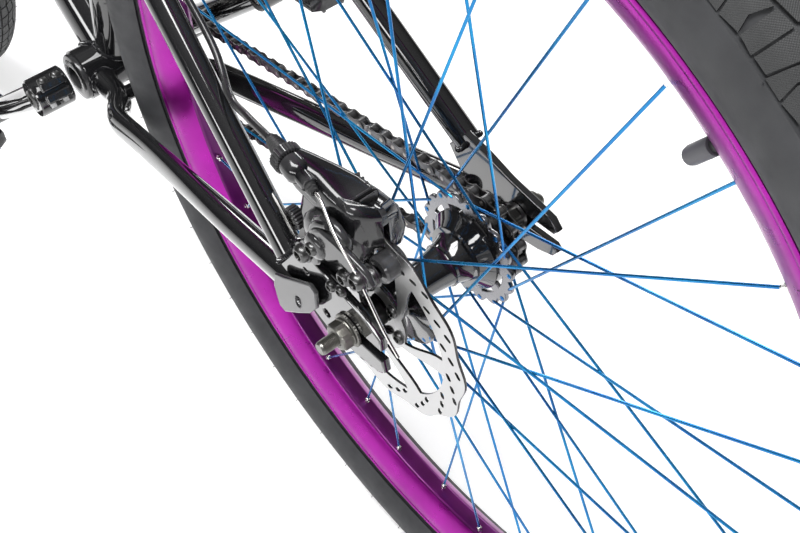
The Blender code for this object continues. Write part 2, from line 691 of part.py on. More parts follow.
def toothed_outline(teeth, turn):
    """A sprocket's outline: each tooth is a flank, a tip and a flank, with rounded gullets between."""
    root, tip = pitch_radius(teeth) - 3.6 * MM, pitch_radius(teeth) + 1.4 * MM
    outline = []
    for i in range(teeth):
        for fraction, radius in ((-0.27, root), (-0.09, tip), (0.09, tip), (0.27, root)):
            angle = turn + (i + fraction) * 2 * pi / teeth
            outline.append((radius * cos(angle), radius * sin(angle)))
    return outline


def chain_line(offset):
    """The chain's loop at an offset outside its pitch line, round both sprockets, in (x, z)."""
    span = Vector((REAR_HUB.x, REAR_HUB.z))
    large, small = pitch_radius(CHAINRING_TEETH), pitch_radius(COG_TEETH)
    lean = acos((large - small) / span.length)
    middle = atan2(span.y, span.x)
    front = arc((0, 0), large + offset, middle + lean, middle - lean + 2 * pi, 20)
    rear = arc(span, small + offset, middle - lean, middle + lean, 12)
    return front + rear


def drive():
    angle = atan2(REAR_HUB.z, REAR_HUB.x)
    spider = [circle((0, 0), 10.2 * MM, 16)]
    for i in range(5):
        start = i * 2 * pi / 5
        spider.append(arc((0, 0), 44 * MM, start + 0.2, start + 1.05, 4) + arc((0, 0), 25 * MM, start + 1.0, start + 0.25, 2))
    plate("chainring", [toothed_outline(CHAINRING_TEETH, angle), *spider], 3 * MM, (0, CHAIN_Y, 0), "black_alloy")
    cog = plate(
        "rear_cog", [toothed_outline(COG_TEETH, angle), circle((0, 0), AXLE_RADIUS + GAP, 12)],
        3 * MM, REAR_HUB + Vector((0, CHAIN_Y, 0)), "black_alloy",
    )
    weld(cog, ring("driver_body", REAR_HUB + Vector((0, CHAIN_Y - 1 * MM, 0)), (0, 1, 0), 17 * MM, AXLE_RADIUS + GAP, 8 * MM, None, 20))

    chain = plate("chain", [chain_line(4.2 * MM), chain_line(-4.2 * MM)], 8.6 * MM, (0, CHAIN_Y, 0), "dark_steel")
    groove = plate("chain_groove", [chain_line(2.2 * MM), chain_line(-7 * MM)], 3.8 * MM, (0, CHAIN_Y, 0), None)
    boolean(chain, groove, "DIFFERENCE")


def cranks():
    rod("crank_spindle", (0, -82 * MM, 0), (0, 82 * MM, 0), 9.5 * MM, "dark_steel", 20)
    for side, word in ((1, "left"), (-1, "right")):
        angle = CRANK_ANGLE if side > 0 else CRANK_ANGLE + pi
        outward = Vector((cos(angle), 0, sin(angle)))
        tip = outward * CRANK_LENGTH + Vector((0, side * (CRANK_Y + 6 * MM), 0))
        root = Vector((0, side * (CRANK_Y - 4 * MM), 0))
        arm = rod(f"crank_arm_{word}", root, tip, 12.5 * MM, "gloss_black", 16, 10.5 * MM)
        boss_centre = Vector((0, side * (CRANK_Y - 7 * MM), 0))
        eye_low, eye_high = tip - Vector((0, 11 * MM, 0)), tip + Vector((0, 9 * MM, 0))
        if side < 0:
            eye_low, eye_high = tip - Vector((0, 9 * MM, 0)), tip + Vector((0, 11 * MM, 0))
        weld(
            arm,
            rod(f"crank_boss_{word}", boss_centre - Vector((0, 16 * MM, 0)), boss_centre + Vector((0, 16 * MM, 0)), 17 * MM, None, 20),
            rod(f"crank_eye_{word}", eye_low, eye_high, 13 * MM, None, 16),
        )
        cut_round(arm, (0, side * 30 * MM, 0), (0, side * 120 * MM, 0), 9.5 * MM + GAP)
        cut_round(arm, tip - Vector((0, 30 * MM, 0)), tip + Vector((0, 30 * MM, 0)), 7 * MM + GAP)
        pedal(side, word, tip)


def pedal(side, word, tip):
    """A platform pedal on an axle that screws into the crank's eye."""
    inner = Vector((tip.x, side * PEDAL_INNER_Y, tip.z))
    outer = inner + Vector((0, side * PEDAL_LENGTH, 0))
    axle = rod(f"pedal_axle_{word}", Vector((tip.x, side * 71 * MM, tip.z)), outer - Vector((0, side * 8 * MM, 0)), 5 * MM, "steel", 12)
    weld(axle, rod(f"pedal_thread_{word}", Vector((tip.x, side * 72 * MM, tip.z)), Vector((tip.x, side * 90.5 * MM, tip.z)), 7 * MM, None, 12))
    centre = (inner + outer) / 2 + Vector((0, side * 1.5 * MM, 0))
    body = box(f"pedal_{word}", centre, (96 * MM, PEDAL_LENGTH - 3 * MM, 20 * MM), "black_alloy", bevel=4 * MM)
    for x in (-26 * MM, 26 * MM):
        for y in (-24 * MM, 24 * MM):
            window = box(f"pedal_window_{word}", centre + Vector((x, y, 0)), (22 * MM, 34 * MM, 40 * MM), None)
            boolean(body, window, "DIFFERENCE")
    cut_round(body, inner - Vector((0, side * 10 * MM, 0)), outer - Vector((0, side * 6 * MM, 0)), 5 * MM + GAP)


# Rear brake


PAD_ANGLE = radians(76)
PAD_CENTRE = near_hub(70 * cos(PAD_ANGLE), ROTOR_Y / MM, 70 * sin(PAD_ANGLE))
ARM_PIVOT = near_hub(8, 75.3, 74)
CABLE_STOP = near_hub(46, 71, 113)


def sector(inner, outer, start, end):
    """A piece of a ring about the rear axle, with radii and angles in millimetres and degrees."""
    start, end = radians(start), radians(end)
    return arc((0, 0), outer * MM, start, end, 6) + arc((0, 0), inner * MM, end, start, 6)


def brake():
    """A cable-pulled disc caliper above the axle, on a bracket bolted to the left dropout."""
    body = plate("caliper_body", [sector(60, 103, 43, 98)], 40 * MM, near_hub(0, 55, 0), "black_alloy")
    cut_round(body, near_hub(0, 47.4, 0), near_hub(0, 55.6, 0), 87 * MM)
    weld(body, rod("cable_stop", near_hub(12, 71, 102), CABLE_STOP, 7.5 * MM, None, 12))
    plate("caliper_bracket", [sector(31, 59.7, 46, 104)], 6 * MM, near_hub(0, 64, 0), "black_alloy")

    radial = Vector((cos(PAD_ANGLE), 0, sin(PAD_ANGLE)))
    for side, word in ((1, "outer"), (-1, "inner")):
        centre = PAD_CENTRE + Vector((0, side * (ROTOR_THICKNESS / 2 + 1.6 * MM), 0))
        box(f"brake_pad_{word}", centre, (26 * MM, 2.2 * MM, 18 * MM), "pad_compound", radial)

    outline = [(x * MM, z * MM) for x, z in
               ((20, 76), (17, 85), (8, 88), (-12, 87), (-33, 87), (-40, 81), (-36, 74), (-14, 73), (2, 62), (16, 65))]
    arm = plate("caliper_arm", [outline], 6 * MM, near_hub(0, 80.5, 0), "black_alloy")
    weld(arm, rod("arm_boss", ARM_PIVOT, ARM_PIVOT + Vector((0, 5 * MM, 0)), 9 * MM, None))


def brake_housing():
    """The cable housing, from the lever, round the head tube and along the frame to the caliper."""
    start = LEVER_PIVOT + Vector((-4 * MM, 14 * MM, -2 * MM))
    beside = Vector((0, TOP_TUBE_RADIUS + 4.5 * MM, 4 * MM))
    route = [
        start,
        start + Vector((12 * MM, 40 * MM, -3 * MM)),
        BAR_CENTRE + Vector((75 * MM, -40 * MM, 70 * MM)),
        BAR_CENTRE + Vector((70 * MM, 30 * MM, -20 * MM)),
        HEAD_TOP + Vector((40 * MM, 55 * MM, -50 * MM)),
        HEAD_TOP + Vector((-30 * MM, 40 * MM, -40 * MM)),
        TOP_TUBE_FRONT.lerp(TOP_TUBE_REAR, 0.25) + beside,
        TOP_TUBE_FRONT.lerp(TOP_TUBE_REAR, 0.6) + beside,
        TOP_TUBE_FRONT.lerp(TOP_TUBE_REAR, 0.9) + beside,
        near_hub(318, 33, 286),
        near_hub(295, 40, 264),
        seatstay_point(262 * MM) + Vector((0, -13 * MM, 5 * MM)),
        seatstay_point(200 * MM) + Vector((0, -14 * MM, 2 * MM)),
        near_hub(150, 47, 119),
        near_hub(118, 59, 104),
        near_hub(88, 66, 110),
        near_hub(62, 70, 114),
        CABLE_STOP + Vector((0.5 * MM, 0, 0)),
    ]
    bent_tube("brake_housing", smooth_route(route, 3), 2.5 * MM, "rubber", None, 2)


clear_scene()
BIKE = new_collection("bmx_bike")
HELPERS = new_collection("helpers")
main_tubes()
for stay_side, stay_word in ((1, "left"), (-1, "right")):
    stays(stay_side, stay_word)
dropouts()
bearings()
seat()
fork()
stem_and_bars()
brake_lever()
rear_wheel()
front_wheel()
drive()
cranks()
brake()
brake_housing()
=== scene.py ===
"""Looks for the BMX bike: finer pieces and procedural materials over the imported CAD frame.

Lengths are in millimetres until they become vertices. +X is forward, +Y the rider's left and
+Z up; the origin is the centre of the bottom bracket.
"""

import json
from math import acos, atan2, cos, pi, radians, sin, sqrt

import bmesh
import bpy
import numpy as np
from mathutils import Matrix, Vector
from mathutils.bvhtree import BVHTree


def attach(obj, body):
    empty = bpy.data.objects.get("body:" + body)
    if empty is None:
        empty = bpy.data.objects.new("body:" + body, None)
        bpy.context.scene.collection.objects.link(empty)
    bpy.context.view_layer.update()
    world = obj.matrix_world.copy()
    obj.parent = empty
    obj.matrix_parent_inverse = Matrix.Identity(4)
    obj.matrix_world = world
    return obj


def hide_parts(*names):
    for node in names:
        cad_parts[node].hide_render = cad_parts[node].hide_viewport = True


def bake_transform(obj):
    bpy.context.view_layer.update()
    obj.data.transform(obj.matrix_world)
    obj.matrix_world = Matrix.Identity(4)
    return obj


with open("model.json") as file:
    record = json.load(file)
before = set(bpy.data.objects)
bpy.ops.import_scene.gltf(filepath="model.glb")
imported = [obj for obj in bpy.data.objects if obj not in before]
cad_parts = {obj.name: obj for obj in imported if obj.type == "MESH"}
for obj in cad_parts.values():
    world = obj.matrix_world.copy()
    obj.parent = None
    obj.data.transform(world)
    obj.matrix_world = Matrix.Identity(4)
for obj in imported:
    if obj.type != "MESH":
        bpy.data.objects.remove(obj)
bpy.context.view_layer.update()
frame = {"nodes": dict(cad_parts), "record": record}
NODES = frame["nodes"]
MM = 0.001
UP = Vector((0, 0, 1))
LEFT = Vector((0, 1, 0))
AHEAD = Vector((1, 0, 0))

# The CAD's main points, in millimetres
REAR_HUB = Vector((-438.9, 0, 73.4))
FRONT_HUB = Vector((623.1, 0, 73.4))
SEAT_AXIS = Vector((-cos(radians(72)), 0, sin(radians(72))))
HEAD_AXIS = SEAT_AXIS.copy()
HEAD_NORMAL = Vector((HEAD_AXIS.z, 0, -HEAD_AXIS.x))
CROWN = FRONT_HUB - HEAD_NORMAL * 45 + HEAD_AXIS * sqrt(425**2 - 45**2)
HEAD_BOTTOM = CROWN + HEAD_AXIS * 4
HEAD_TOP = HEAD_BOTTOM + HEAD_AXIS * 115
STEM_BASE = HEAD_TOP + HEAD_AXIS * 10
BAR = STEM_BASE + HEAD_AXIS * 20 + HEAD_NORMAL * 53
SEAT_TUBE_LENGTH = 395
TOP_TUBE = (SEAT_AXIS * 360, HEAD_TOP - HEAD_AXIS * 20)
DOWN_TUBE = (Vector(), HEAD_BOTTOM + HEAD_AXIS * 46)
CHAIN_Y = -42
CHAIN_PITCH = 12.7
ROTOR_Y = 51.5
CRANK_ANGLE = radians(-34.5)
FLOOR_Z = REAR_HUB.z - 370
SEAT = SEAT_AXIS * 520
BACKSWEEP = radians(10)
CABLE_STOP = REAR_HUB + Vector((46, 71, 113))
WIRE_START = REAR_HUB + Vector((15.5, 75, 110))


def near_hub(x, y, z):
    return REAR_HUB + Vector((x, y, z))


def chainstay_point(distance):
    return near_hub(distance, 73.1 - 0.0748 * distance, -0.1876 * distance)


def seatstay_point(distance):
    ahead = distance - 20.5
    return near_hub(distance, 77.8 - 0.1189 * ahead, 0.9079 * ahead - 3)


def flipped(points, side):
    return [Vector((p.x, p.y * side, p.z)) for p in map(Vector, points)]


# Node materials


class Nodes:
    """A material's node tree, with short ways to add the nodes that the finishes share."""

    def __init__(self, name):
        self.material = bpy.data.materials.new(name)
        self.material.use_nodes = True
        self.tree = self.material.node_tree
        self.shader = self.tree.nodes["Principled BSDF"]
        self.place = self.add("TexCoord").outputs["Object"]

    def add(self, kind, **settings):
        node = self.tree.nodes.new("ShaderNode" + kind)
        for key, value in settings.items():
            setattr(node, key, value)
        return node

    def link(self, value, socket):
        if isinstance(value, bpy.types.NodeSocket):
            self.tree.links.new(value, socket)
        else:
            socket.default_value = value

    def math(self, operation, *values):
        node = self.add("Math", operation=operation)
        for i, value in enumerate(values):
            self.link(value, node.inputs[i])
        return node.outputs[0]

    def vector(self, operation, *values):
        node = self.add("VectorMath", operation=operation)
        for i, value in enumerate(values):
            self.link(value, node.inputs[i])
        return node

    def noise(self, scale, detail=3, place=None, roughness=0.5):
        node = self.add("TexNoise")
        self.link(place or self.place, node.inputs["Vector"])
        node.inputs["Scale"].default_value = scale
        node.inputs["Detail"].default_value = detail
        node.inputs["Roughness"].default_value = roughness
        return node.outputs["Fac"]

    def ramp(self, value, low, high, to_low, to_high):
        node = self.add("MapRange")
        self.link(value, node.inputs["Value"])
        for socket, number in zip(node.inputs[1:5], (low, high, to_low, to_high)):
            self.link(number, socket)
        return node.outputs[0]

    def mix(self, factor, first, second):
        node = self.add("Mix", data_type="RGBA")
        self.link(factor, node.inputs["Factor"])
        for socket, colour in ((node.inputs[6], first), (node.inputs[7], second)):
            self.link(colour if isinstance(colour, bpy.types.NodeSocket) else (*colour, 1), socket)
        return node.outputs[2]

    def bump(self, height, depth, strength=1.0, under=None):
        """A bump of that height, in millimetres, over another bump."""
        node = self.add("Bump")
        node.inputs["Strength"].default_value = strength
        node.inputs["Distance"].default_value = depth * MM
        self.link(height, node.inputs["Height"])
        if under:
            self.link(under, node.inputs["Normal"])
        return node.outputs[0]

    def finish(self, **sockets):
        for name, value in sockets.items():
            self.link(value, self.shader.inputs[name.replace("_", " ").title().replace("Ior", "IOR")])
        return self.material


def tinted(colour, amount):
    return tuple(min(1.0, c * amount) for c in colour)


def surface(name, colour, rough, metal=0.0, coat=0.0, patch=0.25, grain=0.02, grain_scale=900.0, wear=0.0):
    """A finish with patchy colour, uneven gloss, fine grain and, for a worn one, paler corners."""
    n = Nodes(name)
    cloud = n.noise(28, 4)
    tone = n.mix(cloud, tinted(colour, 1 - patch), tinted(colour, 1 + patch))
    if wear:
        edge = n.ramp(n.add("NewGeometry").outputs["Pointiness"], 0.52, 0.58, 0, wear)
        tone = n.mix(n.math("MULTIPLY", edge, n.noise(160, 5)), tone, (0.32, 0.32, 0.33))
    smudge = n.ramp(n.noise(65, 5), 0.3, 0.7, rough * 0.75, rough * 1.3)
    fine = n.bump(n.noise(grain_scale, 4), grain)
    return n.finish(base_color=(tone), roughness=smudge, metallic=metal, coat_weight=coat,
        coat_roughness=0.04, normal=fine)


def paint_finish():
    """Deep gloss black with the faint ripple of sprayed paint and a few specks of dust."""
    n = Nodes("gloss_black_paint")
    ripple = n.bump(n.noise(240, 2), 0.012)
    specks = n.bump(n.ramp(n.noise(1500, 2), 0.72, 0.8, 0, 1), 0.02, under=ripple)
    haze = n.ramp(n.noise(18, 4), 0.35, 0.75, 0.06, 0.13)
    tone = n.mix(n.noise(40, 3), (0.006, 0.006, 0.007), (0.012, 0.012, 0.013))
    return n.finish(base_color=tone, roughness=haze, coat_weight=1.0, coat_roughness=0.02, normal=specks)


def anodised(name, colour, dark, rough, coat=0.35):
    """Dyed aluminium or steel: coloured metal with fine drawn lines and slight streaks of tone."""
    n = Nodes(name)
    tone = n.mix(n.ramp(n.noise(22, 3), 0.35, 0.65, 0, 1), colour, dark)
    fine = n.bump(n.noise(1400, 3), 0.004)
    gloss = n.ramp(n.noise(70, 4), 0.3, 0.7, rough * 0.8, rough * 1.25)
    return n.finish(base_color=tone, roughness=gloss, metallic=0.82, coat_weight=coat, coat_roughness=0.12,
        normal=fine)


def rubber_finish(name, colour, hatch):
    """Tyre rubber: bloom and mould texture. hatch adds the crossed ribs on the tread's tiles."""
    n = Nodes(name)
    bloom = n.ramp(n.noise(26, 5, roughness=0.6), 0.35, 0.7, 0, 1)
    tone = n.mix(bloom, tinted(colour, 0.82), tinted(colour, 1.22))
    normal = n.bump(n.noise(1300, 4), 0.05)
    if hatch:
        uv = n.add("TexCoord").outputs["UV"]
        split = n.add("SeparateXYZ")
        n.link(uv, split.inputs[0])
        ribs = [n.math("SINE", n.math("MULTIPLY", split.outputs[i], 2 * pi / 1.15)) for i in (0, 1)]
        weave = n.math("MULTIPLY", ribs[0], ribs[1])
        normal = n.bump(weave, 0.09, 0.8, normal)
        tone = n.mix(n.ramp(weave, -1, 1, 0, 0.35), tone, tinted(colour, 0.55))
    rough = n.ramp(n.noise(90, 4), 0.3, 0.7, 0.55, 0.72)
    return n.finish(base_color=tone, roughness=rough, specular_ior_level=0.45, normal=normal)


def turned_steel(name, colour, centre, rough):
    """Steel ground in fine rings about a wheel's axis."""
    n = Nodes(name)
    arm = n.vector("SUBTRACT", n.place, tuple(centre * MM))
    flat = n.vector("MULTIPLY", arm.outputs[0], (1, 0, 1))
    radius = n.vector("LENGTH", flat.outputs[0]).outputs["Value"]
    point = n.add("CombineXYZ")
    n.link(n.math("MULTIPLY", radius, 30.0), point.inputs[0])
    rings = n.noise(160, 3, point.outputs[0])
    tone = n.mix(rings, tinted(colour, 0.86), tinted(colour, 1.1))
    gloss = n.ramp(rings, 0.3, 0.7, rough * 0.7, rough * 1.3)
    return n.finish(base_color=tone, roughness=gloss, metallic=1.0, normal=n.bump(rings, 0.006))


PAINT = paint_finish()
WELD = surface("weld_bead", (0.01, 0.01, 0.012), 0.12, coat=0.8, grain=0.05, grain_scale=500)
ALLOY = surface("satin_black_alloy", (0.009, 0.009, 0.010), 0.2, 0.2, 0.3, grain=0.03, grain_scale=600,
    wear=0.3)
FORGED = surface("forged_black_alloy", (0.006, 0.006, 0.007), 0.13, 0.1, 0.3, grain=0.025, grain_scale=450,
    wear=0.2)
PURPLE = anodised("purple_anodised", (0.34, 0.007, 0.30), (0.27, 0.005, 0.24), 0.3, 0.12)
# A darker purple for the rim's spoke bed: painted shade, not a second dye. The real rim is one colour.
PURPLE_BED_PAINTED_SHADE = anodised("purple_bed_painted_shade", (0.14, 0.006, 0.13), (0.10, 0.005, 0.10), 0.35)
BLUE = anodised("blue_anodised", (0.008, 0.27, 0.56), (0.010, 0.15, 0.43), 0.25, 0.2)
SIDEWALL = rubber_finish("tyre_sidewall", (0.034, 0.035, 0.038), False)
TREAD = rubber_finish("tyre_tread", (0.034, 0.035, 0.036), True)
GROOVE = rubber_finish("tyre_groove", (0.018, 0.018, 0.019), False)
CHROME = surface("plated_steel", (0.72, 0.71, 0.69), 0.16, 1.0, patch=0.06, grain=0.004)
BOLT = surface("blackened_steel", (0.06, 0.06, 0.058), 0.28, 0.9, grain=0.02, wear=0.5)
OLIVE = surface("olive_plated_steel", (0.15, 0.146, 0.13), 0.34, 0.85, patch=0.2, grain=0.03, wear=0.4)
POLISHED = surface("polished_flange", (0.24, 0.24, 0.25), 0.22, 1.0, grain=0.004)
CHAIN_PLATE = surface("chain_plate", (0.05, 0.048, 0.046), 0.3, 0.85, patch=0.4, grain=0.02, wear=0.7)
CHAIN_PIN = surface("chain_pin", (0.42, 0.4, 0.37), 0.3, 1.0, grain=0.01)
ROTOR = turned_steel("ground_rotor_steel", (0.5, 0.5, 0.5), REAR_HUB, 0.36)
RUBBER = surface("moulded_rubber", (0.016, 0.016, 0.017), 0.55, grain=0.08, grain_scale=700)
GRIP = surface("grip_rubber", (0.02, 0.02, 0.021), 0.62, grain=0.12, grain_scale=420)
HOUSING = surface("cable_housing", (0.014, 0.014, 0.015), 0.3, coat=0.3, grain=0.02)
COMPOUND = surface("pad_compound", (0.16, 0.11, 0.07), 0.9, grain=0.2, grain_scale=800, patch=0.5)
SEAT_COVER = surface("seat_cover", (0.013, 0.013, 0.014), 0.5, grain=0.25, grain_scale=260, patch=0.2)
THREAD = surface("seat_thread", (0.05, 0.05, 0.055), 0.7, grain=0.3, grain_scale=900)
CAP_RUBBER = surface("valve_cap_rubber", (0.085, 0.085, 0.095), 0.5, grain=0.03)


# Mesh helpers


class Shape:
    """A mesh under construction. Solids are added in millimetres, and made() turns them into one piece."""

    def __init__(self):
        self.points, self.faces, self.slots = [], [], []
        self.slot = 0

    def add(self, points, faces):
        first = len(self.points)
        self.points += [tuple(point) for point in points]
        self.faces += [tuple(first + i for i in face) for face in faces]
        self.slots += [self.slot] * len(faces)
        return self

    def loops(self, loops, closed=False, caps=True):
        """Skins rings of points, from one to the next."""
        count = len(loops[0])
        points = [point for loop in loops for point in loop]
        faces = []
        for i in range(len(loops) - (0 if closed else 1)):
            a, b = i * count, (i + 1) % len(loops) * count
            faces += [(a + j, a + (j + 1) % count, b + (j + 1) % count, b + j) for j in range(count)]
        if caps and not closed:
            faces += [tuple(range(count))[::-1], tuple(range(len(points) - count, len(points)))]
        return self.add(points, faces)

    def lathe(self, profile, centre, axis=LEFT, steps=48, closed=False):
        """Turns (radius, height) points about axis. (radius, height, sides) makes that ring a polygon."""
        side, other = across(axis)
        loops = []
        for radius, height, *sides in profile:
            loop = []
            for i in range(steps):
                angle = 2 * pi * i / steps
                reach = max(radius, 0.001)
                if sides:
                    part = pi / sides[0]
                    reach /= cos((angle + part) % (2 * part) - part)
                loop.append(centre + axis * height + (side * cos(angle) + other * sin(angle)) * reach)
            loops.append(loop)
        return self.loops(loops, closed)

    def tube(self, points, radius, sides=24, closed=False, end_radius=None, flat=None):
        """A round bar along points. flat(t) gives its width and height as shares of the radius."""
        points = [Vector(p) for p in points]
        count = len(points)
        loops, side = [], None
        for i, point in enumerate(points):
            before = points[i - 1] if i or closed else point
            after = points[(i + 1) % count] if i + 1 < count or closed else point
            along = (after - before).normalized()
            side = across(along)[0] if side is None else (side - along * side.dot(along)).normalized()
            other = along.cross(side)
            t = i / max(1, count - 1)
            size = radius[i] if isinstance(radius, list) else radius
            if end_radius is not None:
                size = radius + (end_radius - radius) * t
            wide, high = flat(t) if flat else (1, 1)
            loops.append(
                [
                    point + (side * cos(a) * wide + other * sin(a) * high) * size
                    for a in (2 * pi * j / sides for j in range(sides))
                ]
            )
        return self.loops(loops, closed)

    def block(self, centre, size, forward=AHEAD, up=UP):
        """A box whose sizes are along forward, across and up."""
        forward, up = Vector(forward).normalized(), Vector(up).normalized()
        aside = up.cross(forward)
        half = [forward * size[0] / 2, aside * size[1] / 2, up * size[2] / 2]
        corners = [centre + half[0] * a + half[1] * b + half[2] * c for a in (-1, 1) for b in (-1, 1)
            for c in (-1, 1)]
        return self.add(corners, [(0, 1, 3, 2), (4, 6, 7, 5), (0, 4, 5, 1), (2, 3, 7, 6), (0, 2, 6, 4),
            (1, 5, 7, 3)])

    def plate(self, outlines, thickness, centre, rounding=0.4, turn=None):
        """Flat outlines in (x, z): the edge, then its holes. It lies across the bike unless turned."""
        curve = bpy.data.curves.new("outline", "CURVE")
        curve.dimensions = "2D"
        curve.fill_mode = "BOTH"
        curve.extrude = thickness / 2 - rounding
        curve.bevel_depth = rounding
        curve.bevel_resolution = 1
        curve.offset = -rounding
        for outline in outlines:
            spline = curve.splines.new("POLY")
            spline.points.add(len(outline) - 1)
            for point, (x, z) in zip(spline.points, outline):
                point.co = (x, z, 0, 1)
            spline.use_cyclic_u = True
        source = bpy.data.objects.new("outline", curve)
        bpy.context.scene.collection.objects.link(source)
        bpy.context.view_layer.update()
        mesh = bpy.data.meshes.new_from_object(source.evaluated_get(bpy.context.evaluated_depsgraph_get()))
        matrix = Matrix.Translation(centre) @ (turn or Matrix.Rotation(pi / 2, 4, "X"))
        self.add([matrix @ v.co for v in mesh.vertices], [tuple(p.vertices) for p in mesh.polygons])
        bpy.data.objects.remove(source)
        bpy.data.meshes.remove(mesh)
        return self

    def bolt(self, centre, axis, radius, height, socket=0.5):
        """A button head with a hexagon socket."""
        hole = radius * socket
        profile = [(radius, 0), (radius, height * 0.45), (radius * 0.86, height * 0.85),
            (radius * 0.7, height)]
        profile += [(hole * 1.12, height), (hole, height * 0.9, 6), (hole, height * 0.3, 6),
            (0, height * 0.2)]
        return self.lathe(profile, centre, axis, 30)

    def made(self, name, materials, body, slot, replaces=(), bevel=0.0, sharp=32, smooth=0):
        """The finished piece, riding on its CAD body, or on none where body is None."""
        mesh = bpy.data.meshes.new(name)
        mesh.from_pydata([tuple(c * MM for c in p) for p in self.points], [], self.faces)
        materials = materials if isinstance(materials, (list, tuple)) else [materials]
        for material in materials:
            mesh.materials.append(material)
        mesh.polygons.foreach_set("material_index", self.slots)
        mesh.validate()
        solid = bmesh.new()
        solid.from_mesh(mesh)
        bmesh.ops.recalc_face_normals(solid, faces=solid.faces)
        solid.to_mesh(mesh)
        solid.free()
        mesh.shade_smooth()
        mesh.set_sharp_from_angle(angle=radians(sharp))
        obj = bpy.data.objects.new(name, mesh)
        bpy.context.scene.collection.objects.link(obj)
        if bevel:
            rounding = obj.modifiers.new("rounding", "BEVEL")
            rounding.width = bevel * MM
            rounding.segments = 2
            rounding.limit_method = "ANGLE"
            rounding.angle_limit = radians(35)
            rounding.harden_normals = True
        if smooth:
            obj.modifiers.new("smoothing", "SUBSURF").levels = smooth
            obj.modifiers["smoothing"].render_levels = smooth
        if body:
            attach(obj, body)
        for node in replaces:
            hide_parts(node)
        return obj


def across(axis):
    """Two directions square to axis and to each other."""
    axis = Vector(axis).normalized()
    side = axis.cross(UP if abs(axis.z) < 0.9 else AHEAD).normalized()
    return side, axis.cross(side)


def rounded(points, cut=12.0, steps=6):
    """The points with each inner corner turned into a curve."""
    points = [Vector(p) for p in points]
    route = [points[0]]
    for before, corner, after in zip(points, points[1:], points[2:]):
        reach = min(cut, (corner - before).length * 0.48, (after - corner).length * 0.48)
        start = corner + (before - corner).normalized() * reach
        end = corner + (after - corner).normalized() * reach
        for i in range(steps + 1):
            t = i / steps
            route.append(start.lerp(corner, t).lerp(corner.lerp(end, t), t))
    return route + [points[-1]]


def spaced(points, step):
    """Points at even steps along a route."""
    points = [Vector(p) for p in points]
    lengths = [(b - a).length for a, b in zip(points, points[1:])]
    total = sum(lengths)
    count = max(2, round(total / step))
    result, i, passed = [], 0, 0.0
    for k in range(count + 1):
        target = total * k / count
        while i < len(lengths) - 1 and passed + lengths[i] < target:
            passed += lengths[i]
            i += 1
        t = (target - passed) / lengths[i]
        result.append(points[i].lerp(points[i + 1], min(1.0, t)))
    return result


def smooth_route(points, spans):
    """One smooth curve through the points, as the CAD makes its cable."""
    points = [Vector(point) for point in points]
    padded = [points[0] * 2 - points[1], *points, points[-1] * 2 - points[-2]]
    route = []
    for a, b, c, d in zip(padded, padded[1:], padded[2:], padded[3:]):
        for i in range(spans):
            t = i / spans
            bend = (2 * a - 5 * b + 4 * c - d) * t**2 + (3 * b - a - 3 * c + d) * t**3
            route.append(0.5 * (2 * b + (c - a) * t + bend))
    return route + [points[-1]]


def arc(centre, radius, start, end, steps):
    angles = [start + (end - start) * i / steps for i in range(steps + 1)]
    return [(centre[0] + radius * cos(a), centre[1] + radius * sin(a)) for a in angles]


def circle(centre, radius, steps=24):
    return arc(centre, radius, 0, 2 * pi * (1 - 1 / steps), steps - 1)


# Wheels


TYRE_ARC = 30.0
TREAD_PITCHES = 60
TREAD_DEPTH = 2.0
SPOKE_ANGLES = {"left": radians(3), "right": radians(13)}


def tyre_point(hub, angle, across_tread, height):
    """A point on the tyre: across_tread is measured from the crown along its section."""
    lean = across_tread / TYRE_ARC
    reach = 340 + (TYRE_ARC + height) * cos(lean)
    return hub + Vector((reach * cos(angle), (TYRE_ARC + 0.5 + height) * sin(lean), reach * sin(angle)))


def tread_tiles():
    """One pitch of tread on one side, as convex outlines of (share of a pitch, mm from the crown)."""
    return [
        ((0.03, 0.9), (0.47, 0.9), (0.41, 9.0), (-0.02, 7.2)),
        ((0.53, 0.9), (0.97, 0.9), (0.92, 7.0), (0.47, 9.2)),
        ((-0.04, 8.8), (0.39, 10.6), (0.33, 17.6), (-0.11, 14.6)),
        ((0.45, 10.8), (0.90, 8.8), (0.83, 14.8), (0.39, 17.6)),
        ((-0.12, 16.4), (0.14, 18.2), (0.06, 32.5), (-0.13, 32.5)),
        ((0.17, 18.4), (0.31, 19.4), (0.27, 25.5), (0.125, 25.5)),
        ((0.125, 25.5), (0.27, 25.5), (0.33, 33.5), (0.09, 33.5)),
        ((0.335, 19.4), (0.60, 17.9), (0.53, 26.0), (0.295, 26.0)),
        ((0.295, 26.0), (0.53, 26.0), (0.60, 32.0), (0.36, 33.5)),
        ((0.63, 17.7), (0.85, 16.4), (0.84, 33.0), (0.63, 32.0)),
    ]


